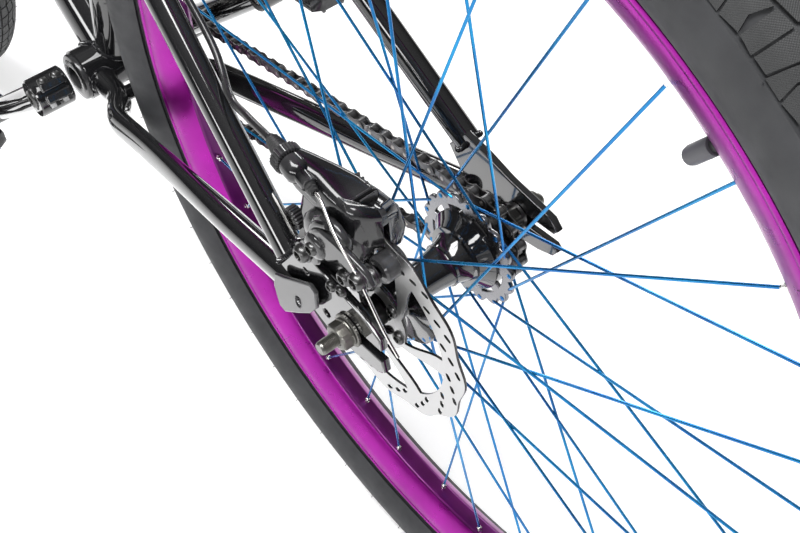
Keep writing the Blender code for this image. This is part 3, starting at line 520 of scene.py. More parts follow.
def tread(name, hub):
    """The raised tiles of one tyre, with their rib pattern's coordinates."""
    tiles = []
    for outline in tread_tiles():
        tiles.append([(s, t) for s, t in outline])
        tiles.append([(s + 0.5, -t) for s, t in reversed(outline)])
    points, faces, coordinates = [], [], []
    pitch = 2 * pi / TREAD_PITCHES
    for outline in tiles:
        span = max(abs(t) for _, t in outline) - min(abs(t) for _, t in outline)
        rows = max(1, round(span / 5))
        a, b, c, d = outline
        grid = []
        for i in range(rows + 1):
            k = i / rows
            low = (a[0] + (d[0] - a[0]) * k, a[1] + (d[1] - a[1]) * k)
            high = (b[0] + (c[0] - b[0]) * k, b[1] + (c[1] - b[1]) * k)
            middle = ((low[0] + high[0]) / 2, (low[1] + high[1]) / 2)
            grid.append((low, middle, high))
        first = len(points)
        flat = [place for row in grid for place in row]
        rim = [j for j in range(3)] + [3 * i + 2 for i in range(1, rows + 1)]
        rim += [3 * rows + 1, 3 * rows] + [3 * i for i in range(rows - 1, 0, -1)]
        tile_points = [(s, t, 0.0) for s, t in flat] + [(flat[j][0], flat[j][1], -TREAD_DEPTH - 0.3)
            for j in rim]
        tile_faces = []
        for i in range(rows):
            for j in range(2):
                q = 3 * i + j
                tile_faces.append((q, q + 1, q + 4, q + 3))
        for i, j in enumerate(rim):
            k = (i + 1) % len(rim)
            tile_faces.append((rim[k], j, len(flat) + i, len(flat) + k))
        points += tile_points
        faces += [tuple(first + q for q in face) for face in tile_faces]
    count = len(points)
    placed, all_faces = [], []
    for turn in range(TREAD_PITCHES):
        for s, t, h in points:
            placed.append(tyre_point(hub, (s + turn) * pitch, t, h) * MM)
            coordinates.append((s * 370 * pitch, t))
        all_faces += [tuple(turn * count + q for q in face) for face in faces]
    mesh = bpy.data.meshes.new(name)
    mesh.from_pydata([tuple(p) for p in placed], [], all_faces)
    mesh.materials.append(TREAD)
    layer = mesh.uv_layers.new(name="ribs")
    corners = np.zeros(len(mesh.loops), np.int32)
    mesh.loops.foreach_get("vertex_index", corners)
    layer.data.foreach_set("uv", np.array(coordinates)[corners].astype(np.float32).ravel())
    mesh.shade_smooth()
    mesh.set_sharp_from_angle(angle=radians(30))
    obj = bpy.data.objects.new(name, mesh)
    bpy.context.scene.collection.objects.link(obj)
    return obj


def tyre(word, hub):
    body = word + "_wheel"
    left = [(312.6, 12.6), (314.6, 14.8), (316.8, 16.4), (318.8, 17.2), (320.5, 18.9)]
    for i in range(9):
        lean = radians(136 - 7.5 * i)
        left.append((340 + 29.6 * cos(lean), 30.3 * sin(lean)))
    floor_t = [34.5, 33.0, 24.0, 16.0, 8.0, 0.0]
    for i, t in enumerate(floor_t):
        lean = t / TYRE_ARC
        depth = 0.0 if i == 0 else TREAD_DEPTH
        left.append((340 + (TYRE_ARC - depth) * cos(lean), (TYRE_ARC + 0.5 - depth) * sin(lean)))
    inner = [(352, 20), (340, 26.6), (326, 22), (312.5, 10)]
    loop = left + [(r, -y) for r, y in reversed(left[:-1])]
    loop += [(r, -y) for r, y in reversed(inner)] + [(366, 0)] + inner
    casing = Shape()
    casing.lathe(loop, hub, LEFT, 240, closed=True)
    for side in (1, -1):
        for i in range(TREAD_PITCHES):
            angle = (i + (0.12 if side > 0 else 0.62)) * 2 * pi / TREAD_PITCHES
            root = tyre_point(hub, angle, side * 35.2, -0.4)
            away = (root - hub - Vector((0, 0, 0))).normalized()
            tip = root + Vector((0, side * 0.9, 0)) + away * 1.2 + LEFT * side * 1.0
            casing.tube([root, root.lerp(tip, 0.5) + away * 0.2, tip], 0.35, 5)
    casing.made(word + "_tyre_casing", SIDEWALL, body, "tyre", replaces=(word + "_tyre",), sharp=28)
    tiles = tread(word + "_tyre_tread", hub)
    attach(tiles, body)


def rim(word, hub):
    """The rim's two walls, with a hooked edge, a fine groove and the seam of its joint."""
    body = word + "_wheel"
    outer = [(315.4, 17.0), (316.0, 18.0), (315.7, 19.2), (314.6, 19.6), (312.2, 19.2), (311.6, 18.5),
        (311.0, 18.6)]
    outer += [(304, 16.2), (297, 13.0), (291.5, 9.4), (289.0, 7.4), (288.1, 6.4), (288.0, 0)]
    inner = [(291.6, 0), (292.6, 3.0), (300, 7.4), (309, 12.0)]
    loop = outer + [(r, -y) for r, y in reversed(outer[:-1])]
    loop += [(r, -y) for r, y in reversed(inner[1:])] + inner
    shape = Shape().lathe(loop, hub, LEFT, 240, closed=True)
    shape.slot = 1
    # The darker purple on the spoke bed is painted shade, not a second dye.
    bed = [(288.9, 7.4), (287.9, 6.4), (287.6, 5.0), (287.6, -5.0), (287.9, -6.4), (288.9, -7.4), (289.2, 0)]
    shape.lathe(bed, hub, LEFT, 240, closed=True)
    shape.made(word + "_rim_body", [PURPLE, PURPLE_BED_PAINTED_SHADE], body, "purple_alloy", replaces=(word + "_rim",),
        sharp=40)
    seams = Shape()
    for side in (1, -1):
        for angle in (radians(129.5 + 180), radians(129.5 + 12)):
            out = Vector((cos(angle), 0, sin(angle)))
            seams.tube([hub + out * 313.9 + LEFT * side * 19.4, hub + out * 303 + LEFT * side * 15.9], 0.16,
                6)
    seams.made(word + "_rim_seams", GROOVE, body, "purple_alloy")

    valve_angle = radians(129.5)
    out = Vector((cos(valve_angle), 0, sin(valve_angle)))
    valve = Shape()
    valve.lathe([(4.6, 0.2), (4.4, -1.6), (3.2, -2.6), (3.2, -14), (4.3, -14.4)], hub + out * 288.5, out, 28)
    valve.slot = 1
    valve.lathe([(3.4, -7.4), (4.5, -7.6), (4.7, -8.4), (4.7, -22), (4.2, -24.2), (2.6, -25.6), (0, -26)],
                hub + out * 288.5, out, 28)
    valve.made(word + "_valve", [RUBBER, CAP_RUBBER], body, "tyre")


def spokes(word, hub, side_word, flange_y, flange_radius, rim_y, turn):
    """One side's crossed spokes, with elbows at the flange and plated nipples at the rim."""
    body = word + "_wheel"
    wires, nipples, heads = Shape(), Shape(), Shape()
    side = 1 if flange_y > 0 else -1
    for lean in (1, -1):
        for i in range(9):
            hub_angle = turn + radians(40 * i + (20 if lean < 0 else 0))
            rim_angle = hub_angle + lean * radians(60)
            hole = hub + Vector((flange_radius * cos(hub_angle), flange_y, flange_radius * sin(hub_angle)))
            offset = Vector((0, side * lean * 1.3, 0))
            end = hub + Vector((287 * cos(rim_angle), rim_y, 287 * sin(rim_angle)))
            along = (end - hole).normalized()
            start = hole + offset
            heads.lathe([(0, 1.0), (1.7, 0.5), (2.0, 0), (1.6, -0.2)], hole - LEFT * side * lean * 1.4,
                        -LEFT * side * lean, 14)
            wires.tube([hole - offset * 0.6, hole + offset * 0.4, start + along * 1.6, start + along * 4],
                1.0, 10)
            wires.tube([start + along * 3.5, end - along * 5], 0.95, 10)
            nipples.lathe([(1.0, -6.0), (1.35, -5.8), (1.4, -5.0), (1.55, -4.6, 4), (1.55, -1.6, 4),
                (2.0, -1.2), (2.2, -0.2), (2.2, 1.5)], end, along, 16)
    name = f"{word}_{side_word}"
    slot_name = "blue_steel"
    wires.made(name + "_spoke_wires", BLUE, body, slot_name, replaces=(f"{word}_spokes_{side_word}",))
    heads.made(name + "_spoke_heads", BLUE, body, slot_name)
    nipples.made(name + "_nipples", CHROME, body, "steel", bevel=0.1)


def petal_flange(shape, hub, y, hole_radius, thickness, turn):
    """A flange with a rounded lobe round each pair of spoke holes."""
    outline = []
    for i in range(144):
        angle = 2 * pi * i / 144
        lobe = abs(cos((angle - turn) * 9))
        outline.append(((hole_radius - 1.6 + 4.6 * lobe**0.8) * cos(angle),
            (hole_radius - 1.6 + 4.6 * lobe**0.8) * sin(angle)))
    windows = [circle((0, 0), 18, 32)]
    for i in range(9):
        start = turn + radians(40 * i + 8)
        windows.append(arc((0, 0), hole_radius - 6.5, start, start + radians(24), 5)
                       + arc((0, 0), 23, start + radians(21), start + radians(3), 4))
    shape.plate([outline, *windows], thickness, hub + LEFT * y, 0.7)


def rear_hub():
    hub = REAR_HUB
    shell = Shape()
    profile = [(5.6, 50.0), (16, 50.1), (21.6, 49.9), (22, 49.2), (22, 47.0), (21.2, 46.2), (15.2, 45.6),
        (13.4, 44), (13.4, 37.6), (16.5, 36.4), (29.6, 35.9), (34.6, 35.7), (35.2, 35.2), (35.2, 32.9),
        (34.6, 32.3), (19, 31.6), (14, 29.8), (12.4, 27), (12.0, 20), (12.6, 10), (13.8, 1), (14.4, -1),
        (15.4, -1.2), (15.4, -3.0), (14.8, -3.2), (16.4, -9), (18.2, -12), (21.5, -12.2), (21.5, -14.0),
        (20.6, -14.2), (24.6, -18), (28.6, -20.6), (29.2, -21.2), (29.2, -27), (24, -28), (19.4, -29),
        (19.4, -36.2), (18, -36.9), (5.6, -36.9)]
    shell.lathe(profile[::-1], hub, LEFT, 72, closed=True)
    shell.made("rear_hub_shell", PAINT, "rear_wheel", "gloss_black", replaces=("rear_hub",), sharp=30)
    petals = Shape()
    petal_flange(petals, hub, -24.2, 39, 3.2, SPOKE_ANGLES["right"])
    petals.made("rear_hub_right_flange", POLISHED, "rear_wheel", "steel")


def rotor():
    """The disc: a wavy band with slanted vents, on curved arms, with its six bolts."""
    hub = REAR_HUB + LEFT * ROTOR_Y
    waves, edge = 12, []
    for i in range(240):
        angle = 2 * pi * i / 240
        swing = cos(waves * angle)
        radius = 78.4 + 1.6 * swing
        edge.append((radius * cos(angle), radius * sin(angle)))
    outlines = [edge, circle((0, 0), 17.2, 48)]
    arms = 6
    for i in range(arms):
        start = i * 2 * pi / arms
        outer = [(61.4 * cos(a), 61.4 * sin(a)) for a in (start + radians(7) + radians(46) * k / 12
            for k in range(13))]
        far, near = [], []
        for k in range(7):
            t = k / 6
            radius = 61.4 - (61.4 - 27.5) * t
            far.append((radius, start + radians(53) + radians(30) * t * t * 0.9))
            near.append((radius, start + radians(7) + radians(30) * t * t * 0.9))
        middle = [(27.5, start + radians(34 + 46 - 12 - 10 * k)) for k in range(1, 3)]
        loop = outer + [(r * cos(a), r * sin(a)) for r, a in far[1:]]
        loop += [(r * cos(a), r * sin(a)) for r, a in middle]
        loop += [(r * cos(a), r * sin(a)) for r, a in reversed(near[1:])]
        outlines.append(loop)
    for i in range(48):
        angle = 2 * pi * (i + 0.5) / 48
        row = i % 3
        radius = (65.6, 69.8, 74.0)[row]
        tilt = angle + radians(58)
        centre = (radius * cos(angle), radius * sin(angle))
        slot = []
        for end in (1, -1):
            for k in range(5):
                a = tilt + (0 if end > 0 else pi) - pi / 2 + pi * k / 4
                slot.append((centre[0] + end * 1.5 * cos(tilt) + 1.55 * cos(a),
                             centre[1] + end * 1.5 * sin(tilt) + 1.55 * sin(a)))
        outlines.append(slot)
    disc = Shape().plate(outlines, 1.9, hub, 0.25)
    obj = disc.made("rotor_disc", [ROTOR, BOLT], "rear_wheel", "steel", replaces=("brake_rotor",), sharp=35)
    for polygon in obj.data.polygons:
        polygon.material_index = int(abs(polygon.normal.y) < 0.5)
    bolts = Shape()
    for i in range(6):
        angle = i * pi / 3 + radians(20)
        at = hub + Vector((22 * cos(angle), 1.0, 22 * sin(angle)))
        bolts.bolt(at, LEFT, 4.6, 2.6)
    bolts.made("rotor_bolts", BOLT, "rear_wheel", "dark_steel")


def thread(shape, start, axis, radius, length, pitch=1.0):
    """A threaded rod drawn as close rings."""
    profile, turns = [(0, 0), (radius - 0.9, 0), (radius - 0.3, 0.6)], int((length - 1.2) / pitch)
    for i in range(turns):
        base = 0.8 + i * pitch
        profile += [(radius - 0.55, base), (radius, base + pitch * 0.3), (radius, base + pitch * 0.55)]
    profile += [(radius - 0.9, length), (0, length)]
    shape.lathe(profile[::-1], start, axis, 28)


def axle_nut(shape, at, axis, washer=11.7):
    """A serrated washer under a flanged hexagon nut."""
    loops = []
    for radius, height, teeth in ((washer - 0.6, 0, 0), (washer, 0.4, 0.25), (washer, 1.8, 0.25),
            (washer - 0.8, 2.3, 0), (6.4, 2.4, 0), (5.2, 1.6, 0)):
        side, other = across(axis)
        loops.append([at + Vector(axis) * height + (side * cos(a) + other * sin(a))
            * (radius + teeth * cos(36 * a))
                      for a in (2 * pi * i / 144 for i in range(144))])
    shape.loops(loops)
    base = at + Vector(axis) * 2.4
    shape.lathe([(5.2, 0), (9.6, 0), (9.9, 0.6), (9.7, 1.3), (8.5, 1.6, 6), (8.5, 7.2, 6), (8.2, 8.4),
        (6.4, 9.0), (5.0, 8.4), (4.9, 6)], base, axis, 60)


def rear_axle():
    axle, spacers = Shape(), Shape()
    thread(axle, near_hub(0, 64, 0), LEFT, 4.75, 33)
    thread(axle, near_hub(0, -64, 0), -LEFT, 4.75, 25)
    axle.made("rear_axle_thread", OLIVE, "frame", "dark_steel", replaces=("rear_axle",))
    for start, end in ((50.9, 67.2), (-48.0, -67.2)):
        out = 1 if end > 0 else -1
        length = abs(end - start)
        profile = [(5, 0), (9.4, 0), (9.8, 0.5), (9.8, length * 0.4), (8.6, length * 0.4 + 0.6, 6),
            (8.6, length - 3, 6), (9.9, length - 2.4), (9.9, length - 0.2), (5, length)]
        spacers.lathe(profile, near_hub(0, start, 0), LEFT * out, 48)
    spacers.made("rear_axle_cones", BOLT, "frame", "dark_steel")
    for side, word in ((1, "left"), (-1, "right")):
        nut = Shape()
        axle_nut(nut, near_hub(0, side * 73.8, 0), LEFT * side)
        nut.made(f"rear_nut_{word}", OLIVE, "frame", "dark_steel", replaces=(f"rear_axle_nut_{word}",),
            sharp=25)


def front_hub():
    hub = FRONT_HUB
    half = [(5.6, 47.2), (9.2, 47.4), (9.8, 46.8), (9.8, 36.6), (12, 35.8), (27.6, 35.3), (28.0, 34.8),
        (28.0, 32.4), (27.6, 32.0), (15, 31.0), (12.4, 28), (11.6, 20), (11.2, 0)]
    profile = half + [(r, -y) for r, y in reversed(half[:-1])]
    Shape().lathe(profile[::-1], hub, LEFT, 56, closed=True).made(
        "front_hub_shell", PAINT, "front_wheel", "gloss_black", replaces=("front_hub",))
    axle = Shape()
    for side in (1, -1):
        thread(axle, hub + LEFT * side * 47.6, LEFT * side, 4.75, 26.4)
        axle_nut(axle, hub + LEFT * side * 56.2, LEFT * side, 10.5)
    axle.made("front_axle_nuts", OLIVE, "steering", "dark_steel", replaces=("front_axle",), sharp=25)


def wheels():
    for word, hub in (("rear", REAR_HUB), ("front", FRONT_HUB)):
        tyre(word, hub)
        rim(word, hub)
    spokes("rear", REAR_HUB, "left", 34.0, 32, 2.6, SPOKE_ANGLES["left"])
    spokes("rear", REAR_HUB, "right", -24.2, 39, -2.6, SPOKE_ANGLES["right"])
    for side, word in ((1, "left"), (-1, "right")):
        spokes("front", FRONT_HUB, word, side * 33.5, 25, side * 2.6, SPOKE_ANGLES[word])
    rear_hub()
    rotor()
    rear_axle()
    front_hub()


# Frame


def along_tube(start, end, toward_end):
    """A frame for a straight tube: its end point, direction and two directions square to it."""
    direction = (end - start).normalized() * (1 if toward_end else -1)
    side, other = across(direction)
    return (end if toward_end else start), direction, side, other


def weld_ring(shape, start, end, radius, hit_start, hit_axis, hit_radius, bead=2.3, toward_end=True):
    """A rippled bead where the tube from start to end meets the round bar along hit_axis."""
    _, direction, side, other = along_tube(start, end, toward_end)
    axis = Vector(hit_axis).normalized()
    route = []
    for i in range(96):
        angle = 2 * pi * i / 96
        line = start + (side * cos(angle) + other * sin(angle)) * radius - hit_start
        flat_line, flat_way = line - axis * line.dot(axis), direction - axis * direction.dot(axis)
        a, b = flat_way.dot(flat_way), 2 * flat_line.dot(flat_way)
        c = flat_line.dot(flat_line) - hit_radius**2
        root = b * b - 4 * a * c
        if a < 1e-6 or root < 0:
            continue
        route.append(hit_start + line + direction * (-b - sqrt(root)) / (2 * a))
    if len(route) < 90:
        return
    ripple = [bead * (1 + 0.16 * cos(2 * pi * i / 3.0)) for i in range(len(route) * 3)]
    dense = []
    for a, b in zip(route, route[1:] + route[:1]):
        dense += [a, a.lerp(b, 1 / 3), a.lerp(b, 2 / 3)]
    shape.tube(dense, ripple, 10, closed=True)


def crimped(t):
    """The chainstay's section, narrow and tall where it passes the tyre and round at its ends."""
    squeeze = max(0.0, 1 - abs(t - 0.62) / 0.4)
    squeeze = squeeze * squeeze * (3 - 2 * squeeze)
    return 1 - 0.24 * squeeze, 1 + 0.28 * squeeze


def frame_tubes():
    frame_piece = {"body": "frame", "slot": "gloss_black"}
    welds = Shape()
    shell = [(19, 36.2), (22.3, 36.4), (23, 35.7), (23, -35.7), (22.3, -36.4), (19, -36.2)]
    Shape().lathe(shell[::-1], Vector(), LEFT, 72, closed=True).made(
        "bottom_bracket_tube", PAINT, replaces=("bottom_bracket_shell",), **frame_piece)
    head = [(19.2, 57.4), (21.4, 57.5), (23.2, 56.6), (23.2, 50.5), (22, 48.5), (22, -48.5), (23.2, -50.5),
            (23.2, -56.6), (21.4, -57.5), (19.2, -57.4)]
    Shape().lathe(head[::-1], HEAD_BOTTOM.lerp(HEAD_TOP, 0.5), HEAD_AXIS, 72, closed=True).made(
        "head_tube_body", PAINT, replaces=("head_tube",), **frame_piece)
    for name, (start, end), radius in (("down_tube", DOWN_TUBE, 21), ("top_tube", TOP_TUBE, 16)):
        Shape().tube([start, start.lerp(end, 0.5), end], radius, 64).made(
            name + "_body", PAINT, replaces=(name,), **frame_piece)
        weld_ring(welds, start, end, radius, HEAD_BOTTOM, HEAD_AXIS, 22, toward_end=True)
    weld_ring(welds, *DOWN_TUBE[::-1], 21, Vector(), LEFT, 23, toward_end=True)
    weld_ring(welds, TOP_TUBE[1], TOP_TUBE[0], 16, Vector(), SEAT_AXIS, 15.9, toward_end=True)
    top = SEAT_AXIS * SEAT_TUBE_LENGTH
    seat_profile = [(14, 0), (15.7, -0.1), (15.9, -0.6), (15.9, -SEAT_TUBE_LENGTH + 20),
        (14, -SEAT_TUBE_LENGTH + 20)]
    Shape().lathe(seat_profile, top, SEAT_AXIS, 64, closed=True).made(
        "seat_tube_body", PAINT, replaces=("seat_tube",), **frame_piece)
    weld_ring(welds, SEAT_AXIS * 200, Vector(), 15.9, Vector(), LEFT, 23, toward_end=True)

    for side, word in ((1, "left"), (-1, "right")):
        low = [chainstay_point(46), chainstay_point(200), chainstay_point(348)]
        low += [Vector(p) for p in ((-77, 42, 5), (-64, 32, 3), (-50, 27, 1), (-12, 24, 0))]
        route = flipped(spaced(rounded(low, 26, 8), 6), side)
        Shape().tube(route, 10, 48, end_radius=11, flat=crimped).made(
            f"chainstay_{word}_tube", PAINT, replaces=(f"chainstay_{word}",), **frame_piece)
        weld_ring(welds, *flipped([Vector((-60, 28, 1)), Vector((-20, 25, 0))], side), 11, Vector(), LEFT, 23,
            2.0)
        high = [seatstay_point(53), seatstay_point(180), seatstay_point(295)]
        high += [Vector((-123, 33, 335)), Vector((-113, 12, 345))]
        route = flipped(spaced(rounded(high, 26, 8), 8), side)
        Shape().tube(route, 9.25, 48).made(f"seatstay_{word}_tube", PAINT, replaces=(f"seatstay_{word}",),
            **frame_piece)
        weld_ring(welds, *flipped([Vector((-132, 42, 325)), Vector((-113, 12, 345))], side), 9.25,
                  Vector(), SEAT_AXIS, 15.9, 1.8)
        for point_at, near, radius in ((chainstay_point, 47, 9.8), (seatstay_point, 54, 8.9)):
            ahead = (point_at(near + 10) - point_at(near)).normalized()
            side_way, other = across(ahead)
            seam = []
            for i in range(150):
                angle = 2 * pi * i / 150
                spot = point_at(near) + (side_way * cos(angle) + other * sin(angle)) * radius
                spot -= ahead * 2.2 * abs(sin(angle if abs(side_way.y) < 0.5 else angle + pi / 2))
                seam.append(spot)
            ripple = [1.9 * (1 + 0.2 * cos(2 * pi * i / 3)) for i in range(150)]
            welds.tube(flipped(seam, side), ripple, 8, closed=True)
    bridge = Shape()
    bridge.tube([Vector((-55, -24, 3)), Vector((-55, 24, 3))], 6.5, 32)
    bridge.tube([near_hub(303, -37, 255), near_hub(303, 37, 255)], 6.5, 32)
    bridge.made("stay_bridges", PAINT, **frame_piece)
    welds.made("frame_weld_beads", WELD, **frame_piece)


def dropouts():
    for side, word in ((1, "left"), (-1, "right")):
        slot_end = 5.1
        if side > 0:
            outline = [(-30, 15), (-30, slot_end)] + arc((0, 0), slot_end, pi / 2, -pi / 2, 12)
            outline += [(-30, -slot_end), (-31, -15), (-24, -20), (4, -23), (22, -24), (42, -14), (56, -4),
                (70, 2), (74, 10), (72, 22), (62, 32), (52, 39), (46, 40), (30, 36), (8, 30), (-14, 24)]
            holes = [circle((24, -6), 3.2, 16), circle((40, 20), 2.2, 14)]
        else:
            outline = [(-36, 9), (-33, slot_end)] + arc((0, 0), slot_end, pi / 2, -pi / 2, 12)
            outline += [(-33, -slot_end), (-37, -9), (-33, -15), (-20, -19), (4, -22), (24, -24), (46, -20),
                (50, -3), (58, 8), (66, 20), (50, 38), (30, 33), (8, 25), (-14, 20), (-30, 16)]
            holes = []
        shape = Shape().plate([outline, *holes], 6, near_hub(0, side * 70.5, 0), 1.1)
        shape.made(f"dropout_{word}_plate", PAINT, "frame", "gloss_black", replaces=(f"dropout_{word}",),
            sharp=45)
    tab = Shape()
    outline = [(70, -2), (60, 3), (28, 22), (23, 18), (25, 2), (34, -10), (48, -22), (66, -36), (72, -34),
        (74, -16)]
    tab.plate([outline, circle((44, -4), 1.2, 14)], 3.0, near_hub(0, 78.5, 0), 0.9)
    tab.made("dropout_tab", ALLOY, "frame", "gloss_black")


def bottom_bracket():
    cups = Shape()
    for side in (1, -1):
        profile = [(10.6, 4.4), (13, 4.8), (18.6, 4.6), (20.6, 3.8), (21.2, 2.6), (21.2, 0.2), (18, -4),
            (10.6, -4)]
        cups.lathe(profile[::-1], Vector((0, side * 36.6, 0)), LEFT * side, 64, closed=True)
    cups.made("bottom_bracket_cups", ALLOY, "frame", "black_alloy",
              replaces=("bottom_bracket_bearing_left", "bottom_bracket_bearing_right"))


# Drive


def pitch_radius(teeth):
    return CHAIN_PITCH / (2 * sin(pi / teeth))


def toothed(teeth, turn):
    root, tip = pitch_radius(teeth) - 3.9, pitch_radius(teeth) + 1.3
    outline = []
    for i in range(teeth):
        for share, radius in ((-0.5, root), (-0.36, root + 0.3), (-0.25, root + 1.7), (-0.13, tip - 0.9),
                (-0.06, tip), (0.06, tip), (0.13, tip - 0.9), (0.25, root + 1.7), (0.36, root + 0.3)):
            angle = turn + (i + share) * 2 * pi / teeth
            outline.append((radius * cos(angle), radius * sin(angle)))
    return outline


def chain_route():
    """The chain's pitch line, as (x, z) points."""
    span = Vector((REAR_HUB.x, REAR_HUB.z))
    large, small = pitch_radius(28), pitch_radius(14)
    lean, middle = acos((large - small) / span.length), atan2(span.y, span.x)
    front = arc((0, 0), large, middle + lean, middle - lean + 2 * pi, 80)
    rear = arc(span, small, middle - lean, middle + lean, 40)
    points = [Vector((x, CHAIN_Y, z)) for x, z in front + rear]
    return points + points[:1]


def link_outline(length, waist, end):
    """A chain side plate's outline: two round ends and a waist."""
    outline = []
    for centre, start in ((length / 2, -pi * 0.62), (-length / 2, pi * 0.38)):
        outline += arc((centre, 0), end, start, start + pi * 1.24, 8)
        outline.append((0, waist if centre > 0 else -waist))
    return outline


def chain():
    route = chain_route()
    total = sum((b - a).length for a, b in zip(route, route[1:]))
    links = 2 * round(total / CHAIN_PITCH / 2)
    joints = spaced(route, total / links)[:links]
    chain_links, pins = Shape(), Shape()
    for i, start in enumerate(joints):
        end = joints[(i + 1) % links]
        ahead = (end - start).normalized()
        turn = Matrix((ahead, LEFT.cross(ahead) * -1, -LEFT)).transposed().to_4x4()
        wide = 3.45 if i % 2 else 2.35
        outline = link_outline((end - start).length, 2.6, 4.05)
        corners = [(x, z) for x, z in outline]
        for side in (1, -1):
            centre = start.lerp(end, 0.5) + LEFT * side * wide
            loops = [[centre + turn.to_3x3() @ Vector((x * k, z * k, d)) for x, z in corners]
                     for k, d in ((0.93, -0.5), (1, -0.3), (1, 0.3), (0.93, 0.5))]
            chain_links.loops(loops)
        pins.lathe([(0, -4.25), (1.5, -4.2), (1.75, -4.0), (1.75, 4.0), (1.5, 4.2), (0, 4.25)][::-1], start,
            LEFT, 12)
        chain_links.lathe([(2.0, 1.85), (3.85, 1.8), (3.85, -1.8), (2.0, -1.85)][::-1], start, LEFT, 14,
            closed=True)
    chain_links.made("chain_links", CHAIN_PLATE, "frame", "dark_steel", replaces=("chain",))
    pins.made("chain_pins", CHAIN_PIN, "frame", "dark_steel")


def sprockets():
    angle = atan2(REAR_HUB.z, REAR_HUB.x)
    holes = [circle((0, 0), 9.8, 32)]
    for i in range(5):
        start = 2 * pi * i / 5
        outer = arc((0, 0), 45, start + 0.16, start + 1.09, 8)
        holes.append(outer + arc((0, 0), 24, start + 0.96, start + 0.30, 4))
        holes.append(circle((34 * cos(start), 34 * sin(start)), 3.4, 16))
    ring = Shape().plate([toothed(28, angle), *holes], 3.2, Vector((0, CHAIN_Y, 0)), 0.5)
    ring.made("chainring_plate", ALLOY, "crankset", "black_alloy", replaces=("chainring",))
    cog = Shape().plate([toothed(14, angle), circle((0, 0), 15.6, 32)], 3.2, near_hub(0, CHAIN_Y, 0), 0.5)
    cog.lathe([(5.2, 5), (15.6, 4.8), (17.2, 3.8), (17.2, -3.4), (13, -4.2), (12.6, -6), (5.2, -6.2)][::-1],
              near_hub(0, CHAIN_Y, 0), LEFT, 48, closed=True)
    cog.made("rear_sprocket", BOLT, "driver", "black_alloy", replaces=("rear_cog",))


def cranks():
    spindle = Shape()
    spindle.lathe([(9.5, 82), (8.8, 82.6), (0, 82.6), (0, -82.6), (8.8, -82.6), (9.5, -82)][::-1], Vector(),
        LEFT, 48)
    spindle.made("crank_spindle_bar", BOLT, "crankset", "dark_steel", replaces=("crank_spindle",))
    for side, word in ((1, "left"), (-1, "right")):
        angle = CRANK_ANGLE + (0 if side > 0 else pi)
        out = Vector((cos(angle), 0, sin(angle)))
        square = Vector((-sin(angle), 0, cos(angle)))
        outward = LEFT * side
        tip = out * 175 + outward * 80
        arm = Shape()
        route = [outward * 70 + out * 8, outward * 70.5 + out * 30, outward * 73 + out * 60,
            outward * 77 + out * 120, tip - out * 6]
        arm.tube(spaced(rounded(route, 24), 5), 13.2, 40, end_radius=10.4)
        arm.lathe([(10, -16), (16.6, -16), (17.3, -15.2), (17.3, 14.6), (16.4, 15.8), (10, 15.8)][::-1],
                  outward * 67, outward, 56, closed=True)
        arm.lathe([(7.4, -10.6), (12.2, -10.6), (13, -9.8), (13, 8), (12.2, 8.9), (7.4, 8.9)][::-1],
                  tip, outward, 48, closed=True)
        arm.made(f"crank_arm_{word}_forging", PAINT, "crankset", "gloss_black",
            replaces=(f"crank_arm_{word}",))
        lugs, bolts = Shape(), Shape()
        for height in (5.4, -5.4):
            lugs.block(outward * 67 - out * 18 + square * height, (20, 24, 8.2), out, square)
        lugs.made(f"crank_pinch_{word}", PAINT, "crankset", "gloss_black", bevel=2.2)
        for across_at in (-6, 6):
            at = outward * (67 + across_at) - out * 21
            bolts.bolt(at + square * 9.4, square, 4.6, 4.2, 0.55)
            bolts.lathe([(0, 0), (4.4, 0, 6), (4.4, 3.6, 6), (0, 3.6)][::-1], at - square * 9.4, -square, 36)
        bolts.bolt(outward * 82.4, outward, 8.6, 2.6, 0.45)
        bolts.made(f"crank_bolts_{word}", BOLT, "crankset", "dark_steel")
        axle = Shape().lathe([(0, -10), (6.6, -10), (7, -9.4), (7, 10.4), (5, 11), (5, 100), (0, 100)][::-1],
                             tip, outward, 32)
        axle.lathe([(7, 9.6), (9, 9.8), (9, 12.6), (7.6, 13.4), (5, 13.5)][::-1], tip, outward, 36)
        axle.made(f"pedal_axle_{word}_bar", CHROME, "crankset", "steel", replaces=(f"pedal_axle_{word}",))
        pedal(side, word, tip)


def pedal(side, word, tip):
    """A platform pedal: a frame with cross ribs, a centre barrel and grip pins."""
    centre = Vector((tip.x, side * 141.5, tip.z))
    body, pins = Shape(), Shape()
    outline = [(-48, -40), (-42, -48.5), (42, -48.5), (48, -40), (48, 40), (42, 48.5), (-42, 48.5), (-48, 40)]
    windows = []
    for x in (-1, 1):
        for y in (-1, 1):
            windows.append([(x * a, y * b)
                for a, b in ((11, 5), (38, 5), (40, 8), (40, 36), (36, 41), (12, 41))])
    body.plate([outline, *windows], 13, centre, 1.6, turn=Matrix())
    body.lathe([(5.6, -45), (9.4, -45), (10, -44), (10, 46), (8.6, 48), (0, 48.4), (0, 47), (5.6, 46)][::-1],
               centre, LEFT * side, 40)
    for x in (-1, 1):
        for y in (-38, -20, 0, 20, 38):
            for up in (1, -1):
                at = centre + Vector((x * 43.6, y, up * 6.2))
                pins.lathe([(0, 3.6), (1.6, 3.4), (1.7, 3.0), (1.7, 0), (0, 0)][::-1], at, UP * up, 12)
    body.made(f"pedal_{word}_platform", FORGED, f"pedal_{word}", "black_alloy", replaces=(f"pedal_{word}",),
        sharp=40)
    pins.made(f"pedal_{word}_pins", BOLT, f"pedal_{word}", "dark_steel")


# Rear brake


def polar(radius, degrees, y=0.0):
    return near_hub(radius * cos(radians(degrees)), y, radius * sin(radians(degrees)))


